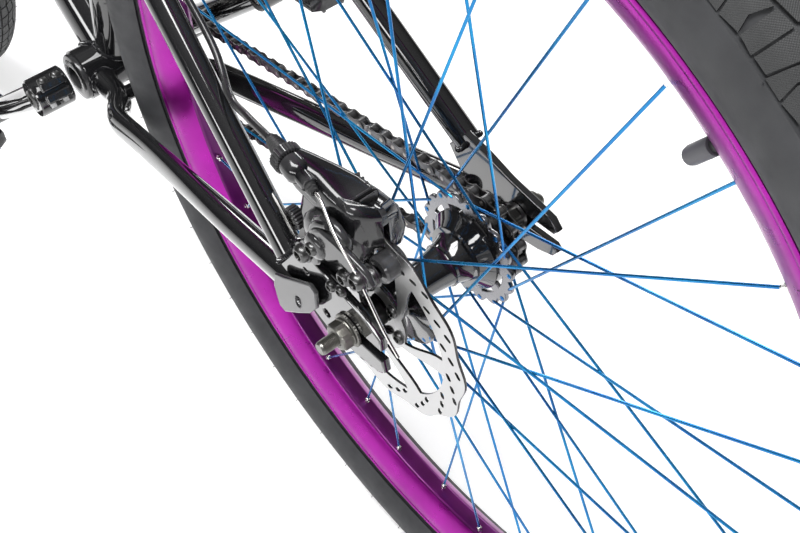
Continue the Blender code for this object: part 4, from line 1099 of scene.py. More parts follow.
def rounded_ring(low, high, corner, place):
    """A rectangle with round corners, from low to high, which place(a, b) puts in space."""
    corners = [(high[0], high[1], -1, -1), (low[0], high[1], 1, -1), (low[0], low[1], 1, 1),
        (high[0], low[1], -1, 1)]
    ring = []
    for turn, (a, b, inward_a, inward_b) in enumerate(corners):
        for i in range(7):
            angle = (turn + i / 6) * pi / 2
            ring.append(place(a + corner * (inward_a + cos(angle)), b + corner * (inward_b + sin(angle))))
    return ring


def caliper():
    """The caliper: a block that straddles the rotor above the axle, and a nose up to the cable stop."""
    alloy = {"body": "frame", "slot": "black_alloy"}
    body = Shape()
    # Along the bike: where, from and to across, from and to in height, and the corner's radius
    nose = [(45, 65, 76, 107, 118, 5), (40, 63, 77, 104, 119, 6), (30, 58, 76, 94, 117, 7),
        (18, 52, 72.5, 84, 113, 7)]
    nose += [(6, 46, 72, 84, 108, 7), (-4, 44, 70, 86, 104, 6)]
    body.loops([rounded_ring((y0, z0), (y1, z1), corner, lambda y, z, x=x: near_hub(x, y, z))
                for x, y0, y1, z0, z1, corner in nose])
    outer = [(-12, 60), (-16, 74), (-10, 88), (6, 97), (22, 98), (34, 90), (40, 74), (38, 58), (30, 46),
        (18, 46), (4, 54)]
    body.plate([outer], 15, near_hub(0, 64, 0), 4.2)
    inner = [(-14, 62), (-18, 78), (-12, 90), (4, 90), (24, 84), (42, 74), (50, 62), (44, 50), (30, 46),
        (14, 52), (-4, 54)]
    body.plate([inner], 11, near_hub(0, 41.5, 0), 3.6)
    body.made("caliper_halves", FORGED, replaces=("caliper_body",), sharp=50, **alloy)

    block = Shape()
    # Across the bike: where, then from and to along it, from and to in height, and the corner's radius
    rows = [(36.5, -9, 6, 72, 86, 5), (38, -13, 10, 69, 91, 6), (41, -16, 12, 67, 95, 7),
        (49.4, -18, 13, 67, 98, 7)]
    rows += [(49.6, -18, 13, 84.5, 98, 5), (53.6, -18, 13, 84.5, 99, 5), (53.8, -18, 13, 68, 99, 7)]
    rows += [(62, -16, 14, 70, 104, 8), (67, -13, 14, 72, 106, 8), (70, -10, 12, 76, 103, 6),
        (71, -6, 9, 80, 99, 5)]
    block.loops([rounded_ring((x0, z0), (x1, z1), corner, lambda x, z, y=y: near_hub(x, y, z))
                 for y, x0, x1, z0, z1, corner in rows])
    block.made("caliper_piston_block", FORGED, sharp=50, **alloy)
    housing_cap = Shape()
    housing_cap.lathe([(0, 7.0), (8, 6.6), (12, 5.0), (14.4, 2.0), (15, -8), (0, -8)][::-1],
        near_hub(14, 73, 74), LEFT, 56)
    housing_cap.lathe([(4.4, 2.0), (8.4, 1.6), (9.4, 0.2), (9.4, -14), (4.4, -14)][::-1],
        near_hub(29, 74, 47), LEFT, 40, closed=True)
    housing_cap.lathe([(4.4, 2.0), (8.2, 1.6), (9.2, 0.2), (9.2, -14), (4.4, -14)][::-1],
        near_hub(-21, 61, 61), LEFT, 40, closed=True)
    housing_cap.made("caliper_bosses", ALLOY, **alloy)

    fins = Shape()
    for k in range(5):
        fins.block(near_hub(8 - k * 3.6, 53, 103 - k), (1.3, 12, 9))
    fins.made("pad_fins", BOLT, "frame", "steel", bevel=0.4)
    clip = Shape()
    teeth = [(66 - 2.6 * i + (0.9 if i % 2 else -0.9), 68 - 4.0 * i + (1.6 if i % 2 else 0))
        for i in range(7)]
    clip.plate([teeth + [(47, 46), (60, 66), (64, 70)]], 1.4, near_hub(0, 72, 0), 0.2)
    coil = [near_hub(60 - i * 0.13 + 4.6 * cos(i * 0.55), 71 + 4.6 * sin(i * 0.55), 26 + i * 0.1)
        for i in range(76)]
    clip.tube(coil, 0.75, 8)
    clip.made("caliper_springs", CHROME, "frame", "steel")
    for node in ("brake_pad_inner", "brake_pad_outer"):
        NODES[node].data.materials[0] = COMPOUND

    ring = Shape()
    at = near_hub(53, 67, 53)
    loops = []
    for radius, height, teeth in ((6, -4, 0), (7.4, -3.4, 0.4), (7.4, 2.4, 0.4), (6.6, 3.4, 0), (4.6, 3.4, 0),
            (4.2, 1.4, 0)):
        turns = (2 * pi * i / 120 for i in range(120))
        loops.append([at + LEFT * height + Vector((cos(a), 0, sin(a))) * (radius + teeth * cos(20 * a))
            for a in turns])
    ring.loops(loops)
    ring.made("pad_adjuster", ALLOY, sharp=25, **alloy)
    Shape().bolt(near_hub(53, 69.2, 53), LEFT, 3.9, 1.6, 0.7).made("pad_adjuster_screw", BOLT, "frame",
        "dark_steel")


def brake_arm():
    """The caliper's curved cam arm, with the cable clamp on its end."""
    arm = Shape()
    curved = [(4, 98), (12, 92), (17, 83), (17, 72), (10, 67), (-2, 70), (-13, 76), (-19, 86), (-18, 93),
        (-10, 99), (-3, 100)]
    arm.plate([curved], 6.4, near_hub(0, 77.2, 0), 2.8)
    ridge = [near_hub(-4, 80, 97), near_hub(7, 80.4, 91), near_hub(12, 80.4, 82), near_hub(7, 80.2, 73),
        near_hub(-5, 80.2, 76)]
    arm.tube(smooth_route(ridge, 8), 2.3, 20)
    outline = [(14, 74), (13, 84), (2, 92), (-12, 92), (-26, 90), (-38, 86), (-42, 80), (-38, 74), (-26, 76),
        (-14, 78), (-2, 68)]
    arm.plate([outline], 5.0, near_hub(0, 80.6, 0), 1.9)
    arm.lathe([(0, 4.6), (6.6, 4.4), (8.4, 3.2), (9, 1.4), (9, -3.6), (0, -3.6)][::-1], near_hub(8, 81, 74),
        LEFT, 40)
    arm.made("caliper_cam_arm", FORGED, "caliper_arm", "black_alloy", replaces=("caliper_arm",), sharp=60)
    clamp = Shape()
    clamp.bolt(near_hub(-33, 83.6, 80), LEFT, 5.6, 5.0, 0.55)
    clamp.lathe([(4.2, 0), (6.4, 0.2), (6.4, 1.6), (4.2, 1.8)][::-1], near_hub(-33, 82.4, 80), LEFT, 32,
        closed=True)
    clamp.bolt(near_hub(8, 85.4, 74), LEFT, 4.4, 2.6, 0.6)
    clamp.made("cable_clamp_bolt", BOLT, "caliper_arm", "dark_steel")


def brake_cable():
    """The adjuster and boot at the caliper, and the bare inner cable."""
    stop_way = (WIRE_START - near_hub(55, 70, 114)).normalized()
    base = near_hub(36, 72.5, 112)
    stop = Shape()
    stop.lathe([(3.0, 20), (4.6, 19.4), (4.8, 12), (6.4, 10.5), (7.6, 8), (7.6, 0), (6.2, -1), (3, -1)][::-1],
               base, stop_way, 40, closed=True)
    stop.tube(rounded([near_hub(14, 66, 92), near_hub(26, 70, 104), near_hub(34, 72, 110)], 8), 5.6, 32,
        end_radius=6.0)
    stop.made("cable_stop", FORGED, "frame", "black_alloy")
    knurl = Shape()
    loops = []
    side, other = across(stop_way)
    for radius, height, teeth in ((6.6, -1, 0), (9.2, -1.6, 0.35), (9.2, -7.6, 0.35), (7, -8.4, 0)):
        loops.append([base + stop_way * height + (side * cos(a) + other * sin(a))
            * (radius + teeth * cos(28 * a))
                      for a in (2 * pi * i / 112 for i in range(112))])
    knurl.loops(loops[::-1])
    knurl.made("barrel_adjuster_ring", ALLOY, "frame", "black_alloy", sharp=25)
    boot = Shape()
    profile = [(2.6, -8)]
    for i in range(7):
        profile += [(6.6 - i * 0.4, -8.4 - i * 2.1), (5.6 - i * 0.4, -9.5 - i * 2.1)]
    profile += [(2.6, -24)]
    boot.lathe(profile, base, stop_way, 32, closed=True)
    boot.lathe([(1.4, 26), (2.6, 25.7), (2.4, 24.4), (3.2, 23.4), (2.8, 22.2), (3.6, 21), (3.0, 19.8),
        (1.4, 19.6)], base, stop_way, 28, closed=True)
    boot.made("cable_boots", RUBBER, "frame", "rubber")

    wire = Shape()
    start = base + stop_way * 24
    route = rounded([start, start + stop_way * 8, near_hub(-14, 83, 99), near_hub(-33, 84.6, 86),
                     near_hub(-52, 85, 55), near_hub(-62, 84, 40)], 14, 10)
    wire.tube(route, 0.95, 12)
    obj = wire.made("inner_cable", CHROME, None, "steel")
    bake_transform(obj)


def housing_route():
    """The CAD's route for the cable housing, from the lever to the caliper."""
    backsweep = radians(10)
    end = BAR + Vector((-24 - 205 * sin(backsweep), 380, 190))
    clamp_at = end - Vector((-sin(backsweep), cos(backsweep), 0)) * 178
    pivot = Vector((clamp_at.x + 30, -clamp_at.y, clamp_at.z - 4))
    start = pivot + Vector((-4, 14, -2))
    beside = Vector((0, 20.5, 4))
    rear, front = TOP_TUBE
    return [start, start + Vector((12, 40, -3)), BAR + Vector((75, -40, 70)), BAR + Vector((70, 30, -20)),
        HEAD_TOP + Vector((40, 55, -50)), HEAD_TOP + Vector((-30, 40, -40)), front.lerp(rear, 0.25) + beside,
        front.lerp(rear, 0.6) + beside, front.lerp(rear, 0.9) + beside, near_hub(318, 33, 286),
        near_hub(295, 40, 264), seatstay_point(262) + Vector((0, -13, 5)),
        seatstay_point(200) + Vector((0, -14, 2)), near_hub(150, 47, 119), near_hub(118, 59, 104),
        near_hub(88, 66, 110), near_hub(62, 70, 114), CABLE_STOP + Vector((0.5, 0, 0)),]


def housing():
    cable = Shape().tube(smooth_route(housing_route(), 10), 2.5, 16)
    obj = cable.made("brake_cable_housing", HOUSING, None, "rubber", replaces=("brake_housing",))
    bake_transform(obj)
    clips = Shape()
    rear, front = TOP_TUBE
    direction = (front - rear).normalized()
    for share in (0.25, 0.6, 0.9):
        at = front.lerp(rear, share) + Vector((0, 20.5, 4))
        clips.lathe([(2.6, 3), (3.5, 2.6), (3.5, -2.6), (2.6, -3)][::-1], at, direction, 24, closed=True)
        clips.block(at - Vector((0, 3.4, 0.6)), (5, 4, 3.4), direction, direction.cross(LEFT))
    clips.made("housing_clips", BOLT, "frame", "dark_steel", bevel=0.4)


def bracket():
    outline = [(polar(31, a) - REAR_HUB) for a in (46, 60, 75, 90, 104)]
    outline = [(p.x, p.z) for p in outline]
    outer = [(polar(59, a) - REAR_HUB) for a in (104, 90, 75, 60, 46)]
    outline += [(p.x, p.z) for p in outer]
    piece = Shape().plate([outline], 6, near_hub(0, 64, 0), 1.4)
    piece.made("caliper_mount_plate", FORGED, "frame", "black_alloy", replaces=("caliper_bracket",), sharp=45)
    bolts = Shape()
    for x, y, z, radius in ((29, 79, 50, 6.0), (-5, 73.6, 52, 5.6), (-22, 67, 62, 6.4), (12, 73.8, 30, 3.8),
            (2, 74, 34, 3.6)):
        bolts.lathe([(radius * 0.6, 0), (radius * 1.2, 0.2), (radius * 1.2, 1.0), (radius * 0.6, 1.2)][::-1],
                    near_hub(x, y - 0.6, z), LEFT, 36, closed=True)
        bolts.bolt(near_hub(x, y, z), LEFT, radius, radius * 0.8, 0.5)
    bolts.made("caliper_mount_bolts", BOLT, "frame", "dark_steel")


# Steering


def bar_end(side, back_from_end):
    """A point on the grip section, measured back from the end of the bar."""
    end = BAR + Vector((-24 - 205 * sin(BACKSWEEP), 380, 190))
    point = end - Vector((-sin(BACKSWEEP), cos(BACKSWEEP), 0)) * back_from_end
    return Vector((point.x, point.y * side, point.z))


def bar_upright(share, side):
    """A point on the handlebar's slanting upright, from its foot (0) to its top (1)."""
    point = (BAR + Vector((0, 45, 8))).lerp(BAR + Vector((-20, 165, 172)), share)
    return Vector((point.x, point.y * side, point.z))


def fork():
    metal = {"body": "steering", "slot": "gloss_black"}
    shoulder = CROWN - HEAD_AXIS * 16
    welds = Shape()
    for side, word in ((1, "left"), (-1, "right")):
        route = [shoulder, shoulder + Vector((0, 24, 0)), shoulder - HEAD_AXIS * 9 + Vector((0, 43, 0)),
                 shoulder - HEAD_AXIS * 34 + Vector((3, 52, 0)), FRONT_HUB + Vector((-8, 53, 24))]
        leg = Shape().tube(flipped(smooth_route(route, 8), side), 15, 44, end_radius=10.5)
        outline = [(-5.2, -20)] + arc((0, 0), 5.2, pi, 0, 12)
        outline += [(5.2, -20), (15, -14), (14, 12), (7, 32), (0, 36), (-18, 36), (-18, 10), (-15, -14)]
        leg.plate([outline], 6, FRONT_HUB + Vector((0, side * 53, 0)), 1.1)
        leg.made(f"fork_blade_{word}", PAINT, replaces=(f"fork_leg_{word}",), **metal)
        seam = [FRONT_HUB + Vector((-8, side * 53, 25)) + Vector((cos(a) * 11, sin(a) * 11, 1.5 * cos(2 * a)))
                for a in (2 * pi * i / 120 for i in range(120))]
        welds.tube(seam, [1.8 * (1 + 0.2 * cos(2 * pi * i / 3)) for i in range(120)], 8, closed=True)
    top = (STEM_BASE + HEAD_AXIS * 40 - CROWN).length
    steerer = Shape().lathe([(12.3, -26), (15.6, -26), (16.4, -18), (15.6, 0), (14.3, 1.5), (14.3, top),
        (12.3, top)][::-1], CROWN, HEAD_AXIS, 56, closed=True)
    steerer.made("fork_steerer_tube", PAINT, replaces=("fork_steerer",), **metal)
    ring = [CROWN - HEAD_AXIS * 4 + (LEFT * cos(a) + HEAD_NORMAL * sin(a)) * 16.6
        - HEAD_AXIS * 6 * abs(cos(a))
            for a in (2 * pi * i / 150 for i in range(150))]
    welds.tube(ring, [2.2 * (1 + 0.18 * cos(2 * pi * i / 3)) for i in range(150)], 8, closed=True)
    welds.made("fork_weld_beads", WELD, **metal)


def headset():
    for word, end, way in (("lower", HEAD_BOTTOM, -1), ("upper", HEAD_TOP, 1)):
        cup = Shape()
        cup.lathe([(16, -8), (19, -8), (19, 0.4), (22.6, 0.6), (23, 1.2), (22.4, 2.4), (19.4, 3.4),
            (16, 3.4)][::-1], end, HEAD_AXIS * way, 64, closed=True)
        cup.made(f"headset_cup_{word}", ALLOY, "frame", "steel", replaces=(f"headset_bearing_{word}",))
    spacers = Shape()
    for low, high in ((4.0, 6.6), (6.9, 9.8)):
        spacers.lathe([(14.5, low), (18.6, low + 0.1), (19, low + 0.5), (19, high - 0.5), (18.6, high - 0.1),
            (14.5, high)][::-1], HEAD_TOP, HEAD_AXIS, 56, closed=True)
    spacers.made("headset_spacers", ALLOY, "steering", "black_alloy")


def stem():
    alloy = {"body": "steering", "slot": "black_alloy"}
    middle = STEM_BASE + HEAD_AXIS * 20
    body = Shape().lathe([(14.5, -19.4), (18.4, -19.4), (20, -18), (20, 18), (18.4, 19.4),
        (14.5, 19.4)][::-1], middle, HEAD_AXIS, 64, closed=True)
    body.made("stem_clamp", FORGED, replaces=("stem",), **alloy)
    blocks = Shape()
    blocks.block(middle + HEAD_NORMAL * 28, (36, 44, 36), HEAD_NORMAL, HEAD_AXIS)
    blocks.block(BAR - HEAD_NORMAL * 6.4, (11.4, 46, 36), HEAD_NORMAL, HEAD_AXIS)
    blocks.block(BAR + HEAD_NORMAL * 7.2, (13.6, 46, 36), HEAD_NORMAL, HEAD_AXIS)
    blocks.block(middle - HEAD_NORMAL * 20, (10, 20, 34), HEAD_NORMAL, HEAD_AXIS)
    blocks.made("stem_body_and_faceplate", FORGED, bevel=3.2, **alloy)
    bolts = Shape()
    for y in (15.5, -15.5):
        for up in (12, -12):
            bolts.bolt(BAR + HEAD_NORMAL * 14 + LEFT * y + HEAD_AXIS * up, HEAD_NORMAL, 4.2, 2.6, 0.55)
    for up in (10, -10):
        bolts.bolt(middle - HEAD_NORMAL * 20 + HEAD_AXIS * up + LEFT * 10, LEFT, 4.0, 2.6, 0.55)
    bolts.bolt(STEM_BASE + HEAD_AXIS * 43.2, HEAD_AXIS, 4.8, 2.2, 0.55)
    bolts.made("stem_bolts", BOLT, "steering", "dark_steel")
    cap = Shape().lathe([(0, 0), (17.4, 0), (18, 0.8), (17.4, 2.4), (12, 3.6), (5.2, 3.8), (0, 3.8)][::-1],
                        STEM_BASE + HEAD_AXIS * 39.6, HEAD_AXIS, 56)
    cap.made("stem_top_cap", ALLOY, **alloy)


def handlebar():
    metal = {"body": "steering", "slot": "gloss_black"}
    half = [BAR + Vector((0, 24, 0)), BAR + Vector((0, 37, 2)), bar_upright(0.06, 1), bar_upright(0.94, 1),
            bar_end(1, 206) - Vector((0, 0, 3)), bar_end(1, 190), bar_end(1, 0)]
    route = flipped(half, -1)[::-1] + half
    Shape().tube(spaced(rounded(route, 34, 10), 6), 11.1, 44).made("handlebar_tube", PAINT,
        replaces=("handlebar",), **metal)
    ends = bar_upright(0.66, -1), bar_upright(0.66, 1)
    way = (ends[1] - ends[0]).normalized()
    Shape().tube([ends[0] + way * 6, ends[0].lerp(ends[1], 0.5), ends[1] - way * 6], 8, 36).made(
        "crossbar_tube", PAINT, replaces=("handlebar_crossbar",), **metal)
    welds = Shape()
    for start, end, side in ((*ends, 1), (*ends[::-1], -1)):
        axis = bar_upright(0.9, side) - bar_upright(0.3, side)
        weld_ring(welds, start, end, 8, bar_upright(0.3, side), axis, 11.1, 1.7)
    knurl = Shape()
    loops = []
    for y in np.linspace(-27, 27, 37):
        loops.append([BAR + Vector((cos(a), 0,
            sin(a))) * (11.2 + 0.22 * cos(36 * a + y * 2.2)) + LEFT * float(y)
            for a in (2 * pi * i / 144 for i in range(144))])
    knurl.loops(loops)
    knurl.made("handlebar_knurl", BOLT, "steering", "gloss_black")
    welds.made("handlebar_weld_beads", WELD, **metal)
    for side, word in ((1, "left"), (-1, "right")):
        inner, outer = bar_end(side, 135), bar_end(side, 0)
        way = (outer - inner).normalized()
        profile = [(11.3, 0), (16.2, 0.1), (16.5, 1.0), (16.5, 2.6), (14.6, 3.4)]
        for i in range(30):
            at = 5 + i * 4.1
            swell = 0.8 * sin(pi * i / 29)
            profile += [(14.4 + swell, at), (15.4 + swell, at + 0.6), (15.4 + swell, at + 2.3),
                (14.4 + swell, at + 2.9)]
        profile += [(15.6, 129), (16.3, 130), (16.3, 134.6), (15, 136.2), (11.3, 136.4)]
        Shape().lathe(profile[::-1], inner, way, 56, closed=True).made(
            f"grip_{word}_sleeve", GRIP, "steering", "rubber", replaces=(f"grip_{word}",), sharp=50)
        plug = Shape().lathe([(0, 1.4), (7, 1.3), (10.6, 0.6), (11, -1), (11, -6), (0, -6)][::-1],
            outer + way * 0.6, way, 40)
        plug.made(f"bar_plug_{word}", RUBBER, "steering", "rubber")


def brake_lever():
    at = bar_end(-1, 178)
    way = (bar_end(-1, 0) - bar_end(-1, 135)).normalized()
    pivot = at + Vector((30, 0, -4))
    clamp = Shape().lathe([(11.3, -7), (15.2, -7), (16, -6), (16, 6), (15.2, 7), (11.3, 7)][::-1], at, way,
        48, closed=True)
    clamp.made("lever_clamp_band", FORGED, "steering", "black_alloy", replaces=("brake_lever_bracket",))
    yoke = Shape()
    yoke.block(at + Vector((17, 0, -2)), (13, 15, 14), AHEAD, UP)
    for up in (5.2, -9.2):
        yoke.block(at + Vector((30, 0, up)), (18, 12, 3.0), AHEAD, UP)
    yoke.made("lever_yoke", FORGED, "steering", "black_alloy", bevel=1.3)
    bolts = Shape()
    bolts.bolt(pivot + Vector((0, 0, 6.8)), UP, 4.4, 2.2, 0.5)
    bolts.bolt(at + Vector((14, 0, 6.0)), UP, 3.6, 2.2, 0.6)
    bolts.made("lever_bolts", BOLT, "steering", "dark_steel")
    entry = pivot + Vector((-4, 14, -2))
    barrel = Shape().lathe([(2.6, -6), (4.4, -6), (4.6, -1), (5.6, 0), (5.6, 6), (4.8, 7), (2.6, 7)][::-1],
                           entry, Vector((0.28, 0.95, -0.07)), 32, closed=True)
    barrel.made("lever_barrel_adjuster", ALLOY, "steering", "black_alloy")
    start = pivot + Vector((7, 0, 0))
    route = smooth_route([start, start + Vector((10, -18, -1)), start + Vector((2, -50, -4)),
        start + Vector((-3, -88, -6))], 10)
    last = len(route) - 1
    blade = Shape().tube(route, [5.0 - 0.9 * sin(pi * i / last) for i in range(last + 1)], 28,
                         flat=lambda t: (0.72 + 0.2 * t, 1.05))
    blade.lathe([(0, 5.2), (3, 4.4), (5, 1.6), (5.4, 0), (5, -1.6), (3, -4.4), (0, -5.2)][::-1], route[-1],
        LEFT, 28)
    blade.lathe([(3.0, 5), (6.6, 4.8), (7, 4), (7, -4), (6.6, -4.8), (3.0, -5)][::-1],
        pivot + Vector((2, 0, 0)), UP, 36, closed=True)
    blade.made("lever_blade", FORGED, "brake_lever", "black_alloy", replaces=("brake_lever",))


# Seat


def saddle_half_width(t):
    """Half the saddle's width in millimetres, from its tail (-1) to its nose (1)."""
    stations = (-1.0, -0.98, -0.8, -0.45, 0.0, 0.4, 0.8, 1.0)
    widths = (30, 54, 69, 61, 35, 26, 22, 13)
    return float(np.interp(t, stations, widths))


def saddle_outline(length, inset, steps=72):
    """The saddle's outline, one side and back along the other."""
    smooth = []
    for i in range(steps + 1):
        t = cos(pi * i / steps)
        spread = [saddle_half_width(max(-1, min(1, t + shift))) for shift in (-0.12, -0.06, 0, 0.06, 0.12)]
        end = sqrt(max(0.0, 1 - abs(t) ** 9))
        smooth.append((length * t, max(0.6, (sum(spread) / 5 - inset) * end)))
    return smooth


def seat_hardware():
    clamp_at = SEAT_AXIS * (SEAT_TUBE_LENGTH - 4)
    square = SEAT_AXIS.cross(LEFT)
    clamp = Shape().lathe([(16.2, -7), (19.2, -7), (20, -6), (20, 6), (19.2, 7), (16.2, 7)][::-1], clamp_at,
        SEAT_AXIS, 60, closed=True)
    clamp.made("seat_clamp_band", FORGED, "frame", "black_alloy", replaces=("seat_clamp",))
    lugs, bolts = Shape(), Shape()
    back = square if square.x < 0 else -square
    for y in (5, -5):
        lugs.block(clamp_at + back * 22 + LEFT * y, (9, 6, 12.5), back, SEAT_AXIS)
    lugs.made("seat_clamp_lugs", FORGED, "frame", "black_alloy", bevel=1.4)
    bolts.bolt(clamp_at + back * 23 + LEFT * 8, LEFT, 4.0, 3.4, 0.55)
    bolts.lathe([(0, 0), (4.0, 0, 6), (4.0, 3.2, 6), (0, 3.2)][::-1], clamp_at + back * 23 - LEFT * 8, -LEFT,
        36)
    bolts.made("seat_clamp_bolt", BOLT, "frame", "dark_steel")
    post = Shape().lathe([(0, 467), (12.4, 467), (13.6, 466), (13.6, 440), (13.55, 439.6), (13.6, 439.2),
        (13.6, 286), (0, 286)][::-1], Vector(), SEAT_AXIS, 56)
    post.made("seat_post_tube", ALLOY, "seat", "gloss_black", replaces=("seat_post",))

    base = Shape()
    outline = saddle_outline(118, 3)
    rim_line = [(x, y) for x, y in outline] + [(x, -y) for x, y in reversed(outline[1:-1])]
    rows = []
    for inset, z in ((1.0, -20.0), (0.985, -18.6), (0.99, -13.4), (1.0, -12.9)):
        rows.append([SEAT + Vector((x * inset, y * inset, z)) for x, y in rim_line])
    base.loops(rows)
    base.made("saddle_shell", RUBBER, "seat", "black_alloy", replaces=("seat_base",), sharp=45)
    rails = Shape()
    for side in (1, -1):
        rails.tube(smooth_route([SEAT + Vector((105, side * 12, -18)), SEAT + Vector((60, side * 21, -34)),
            SEAT + Vector((-40, side * 21, -34)), SEAT + Vector((-95, side * 30, -18))], 10), 3.5, 24)
    rails.made("saddle_rails", CHROME, "seat", "steel")
    cradle, cradle_bolt = Shape(), Shape()
    cradle.block(SEAT + Vector((2, 0, -39)), (38, 52, 9), AHEAD, UP)
    cradle.block(SEAT + Vector((2, 0, -28)), (34, 52, 8), AHEAD, UP)
    cradle.lathe([(0, 0), (14.6, 0), (15.6, 1), (15.6, 11), (14.6, 12), (0, 12)][::-1], SEAT - SEAT_AXIS * 56,
        SEAT_AXIS, 48)
    cradle.made("saddle_cradle", FORGED, "seat", "black_alloy", bevel=2.2)
    cradle_bolt.bolt(SEAT + Vector((2, 0, -24)), UP, 4.4, 2.6, 0.55)
    for side in (1, -1):
        cradle_bolt.bolt(SEAT + Vector((2, side * 26, -34)), LEFT * side, 4.6, 2.8, 0.55)
    cradle_bolt.made("saddle_cradle_bolts", BOLT, "seat", "dark_steel")


def puffed(obj, most):
    """The object's mesh after a short cloth run under pressure, no point moved further than most."""
    mesh = obj.data
    before = np.empty(len(mesh.vertices) * 3)
    mesh.vertices.foreach_get("co", before)
    before = before.reshape(-1, 3)
    group = obj.vertex_groups.new(name="held")
    low = before[:, 2].min()
    group.add([int(i) for i in np.nonzero(before[:, 2] < low + 0.004)[0]], 1.0, "REPLACE")
    cloth = obj.modifiers.new("cloth", "CLOTH")
    cloth.settings.use_pressure = True
    cloth.settings.uniform_pressure_force = 4
    cloth.settings.effector_weights.gravity = 0
    cloth.settings.vertex_group_mass = "held"
    cloth.settings.quality = 5
    cloth.point_cache.frame_start = 1
    cloth.point_cache.frame_end = 20
    scene = bpy.context.scene
    for step in range(1, 21):
        scene.frame_set(step)
    shown = obj.evaluated_get(bpy.context.evaluated_depsgraph_get())
    after = np.empty(len(mesh.vertices) * 3)
    shown.data.vertices.foreach_get("co", after)
    move = after.reshape(-1, 3) - before
    length = np.linalg.norm(move, axis=1, keepdims=True)
    move *= np.minimum(1, most / np.maximum(length, 1e-9))
    obj.modifiers.remove(cloth)
    scene.frame_set(1)
    mesh.vertices.foreach_set("co", (before + move).ravel())
    mesh.update()


def seat_pad():
    """A crowned, cloth-covered foam pad with a raised tail, piping round its edge and two stitched seams."""
    outline = saddle_outline(122, 0, 44)
    rows = []
    for x, half in outline:
        t = x / 122
        rise = 24 + 5 * max(0.0, -t - 0.35) - 3 * max(0.0, t - 0.2)
        row = []
        for k in range(25):
            angle = pi * k / 24
            row.append(SEAT + Vector((x, half * cos(angle), -12.4 + rise * abs(sin(angle)) ** 0.55)))
        for k in range(1, 8):
            row.append(SEAT + Vector((x, -half + 2 * half * k / 8, -12.4)))
        rows.append(row)
    pad = Shape().loops(rows).made("saddle_pad", SEAT_COVER, None, "seat_cover", replaces=("seat_pad",),
        sharp=180)
    remesh = pad.modifiers.new("even", "REMESH")
    remesh.mode = "VOXEL"
    remesh.voxel_size = 0.005
    even = bpy.data.meshes.new_from_object(pad.evaluated_get(bpy.context.evaluated_depsgraph_get()))
    pad.modifiers.remove(remesh)
    pad.data = even
    if not even.materials:
        even.materials.append(SEAT_COVER)
    puffed(pad, 0.0022)
    even.shade_smooth()
    pad.modifiers.new("smoothing", "SUBSURF").levels = 2
    pad.modifiers["smoothing"].render_levels = 2
    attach(pad, "seat")

    tree = BVHTree.FromPolygons([v.co[:] for v in even.vertices], [p.vertices[:] for p in even.polygons])

    def surface_at(x, y):
        spot = tree.ray_cast((SEAT + Vector((x, y, 60))) * MM, -UP)[0]
        return spot / MM if spot else None

    piping, thread = Shape(), Shape()
    edge = [(x, y) for x, y in saddle_outline(122.6, -0.6)]
    ring = [SEAT + Vector((x, y, -9.6)) for x, y in edge] + [SEAT + Vector((x, -y, -9.6))
        for x, y in reversed(edge[1:-1])]
    piping.tube(ring, 1.5, 10, closed=True)
    for side in (1, -1):
        line = []
        for x in np.linspace(-104, 104, 90):
            spot = surface_at(float(x), side * saddle_half_width(float(x) / 122) * 0.55)
            if spot:
                line.append(spot)
        piping.tube(line, 0.7, 8)
        for a, b in zip(line[::2], line[1::2]):
            for shift in (2.6, -2.6):
                start, end = surface_at(a.x - SEAT.x, a.y + shift), surface_at(b.x - SEAT.x, b.y + shift)
                if start and end:
                    thread.tube([start, start.lerp(end, 0.5) + UP * 0.3, end], 0.42, 6)
    piping.made("saddle_piping", GRIP, "seat", "seat_cover")
    thread.made("saddle_stitching", THREAD, "seat", "seat_cover")


# Stage


def area_light(name, place, target, size, power):
    light = bpy.data.lights.new(name, "AREA")
    light.shape = "RECTANGLE"
    light.size, light.size_y = size
    light.energy = power
    obj = bpy.data.objects.new(name, light)
    obj.location = place
    obj.rotation_euler = (Vector(target) - Vector(place)).to_track_quat("-Z", "Y").to_euler()
    bpy.context.scene.collection.objects.link(obj)


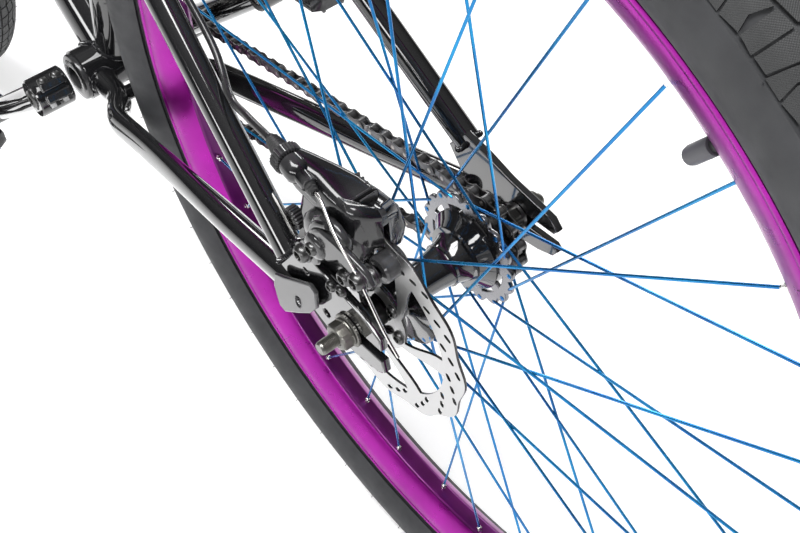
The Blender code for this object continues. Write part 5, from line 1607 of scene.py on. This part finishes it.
def stage():
    """A pale floor, soft studio light and the camera."""
    floor_mesh = bpy.data.meshes.new("floor")
    reach = 14
    floor_mesh.from_pydata([(x, y, FLOOR_Z * MM) for x, y in ((-reach, -reach), (reach, -reach),
        (reach, reach), (-reach, reach))], [], [(0, 1, 2, 3)])
    n = Nodes("studio_floor")
    floor_mesh.materials.append(n.finish(base_color=(0.93, 0.93, 0.93, 1), roughness=0.6,
        specular_ior_level=0.2, emission_color=(1, 1, 1, 1), emission_strength=0.34))
    floor = bpy.data.objects.new("floor", floor_mesh)
    bpy.context.scene.collection.objects.link(floor)

    world = bpy.data.worlds.new("studio")
    world.use_nodes = True
    sky = world.node_tree
    place = sky.nodes.new("ShaderNodeTexCoord")
    axes = sky.nodes.new("ShaderNodeSeparateXYZ")
    glow = sky.nodes.new("ShaderNodeMapRange")
    for socket, value in (("From Min", 0.2), ("From Max", 0.8), ("To Min", 0.04), ("To Max", 0.3)):
        glow.inputs[socket].default_value = value
    sky.links.new(place.outputs["Generated"], axes.inputs["Vector"])
    sky.links.new(axes.outputs["Z"], glow.inputs["Value"])
    sky.links.new(glow.outputs["Result"], sky.nodes["Background"].inputs["Strength"])
    sky.nodes["Background"].inputs["Color"].default_value = (1, 1, 1, 1)
    bpy.context.scene.world = world
    area_light("top", (-0.6, 0.6, 2.6), (-0.3, 0, 0), (2.2, 0.9), 88)
    area_light("side", (-1.2, 2.4, 0.9), (-0.4, 0, 0), (2.2, 0.4), 28)
    area_light("back", (1.4, -2.0, 1.2), (-0.3, 0, 0), (2.4, 0.4), 36)
    bpy.context.scene.view_settings.view_transform = "Standard"

    camera = bpy.data.cameras.new("camera")
    camera.lens = 50.77
    camera.sensor_width = 36
    camera.clip_start = 0.02
    obj = bpy.data.objects.new("camera", camera)
    right, up, back = (-0.6464, -0.7604, -0.0632), (0.5371, -0.5123, 0.6701), (-0.5419, 0.3992, 0.7396)
    turn = Matrix((right, up, back)).transposed().to_4x4()
    obj.matrix_world = Matrix.Translation((-0.8091, 0.3042, 0.6030)) @ turn
    bpy.context.scene.collection.objects.link(obj)
    bpy.context.scene.camera = obj


CAD_FINISHES = {
    "gloss_black": PAINT,
    "black_alloy": ALLOY,
    "purple_alloy": PURPLE,
    "blue_steel": BLUE,
    "tyre": SIDEWALL,
    "steel": CHROME,
    "dark_steel": BOLT,
    "rubber": RUBBER,
    "seat_cover": GRIP,
    "pad_compound": COMPOUND,
}


def finish_cad_nodes():
    """The CAD nodes that stay in view take the same finishes."""
    for part in frame["record"]["subparts"]:
        obj = NODES[part["node"]]
        obj.data.materials.clear()
        obj.data.materials.append(CAD_FINISHES[part["material_slot"]])


finish_cad_nodes()
wheels()
frame_tubes()
dropouts()
bottom_bracket()
chain()
sprockets()
cranks()
caliper()
brake_arm()
brake_cable()
housing()
bracket()
fork()
headset()
stem()
handlebar()
brake_lever()
seat_hardware()
seat_pad()
stage()
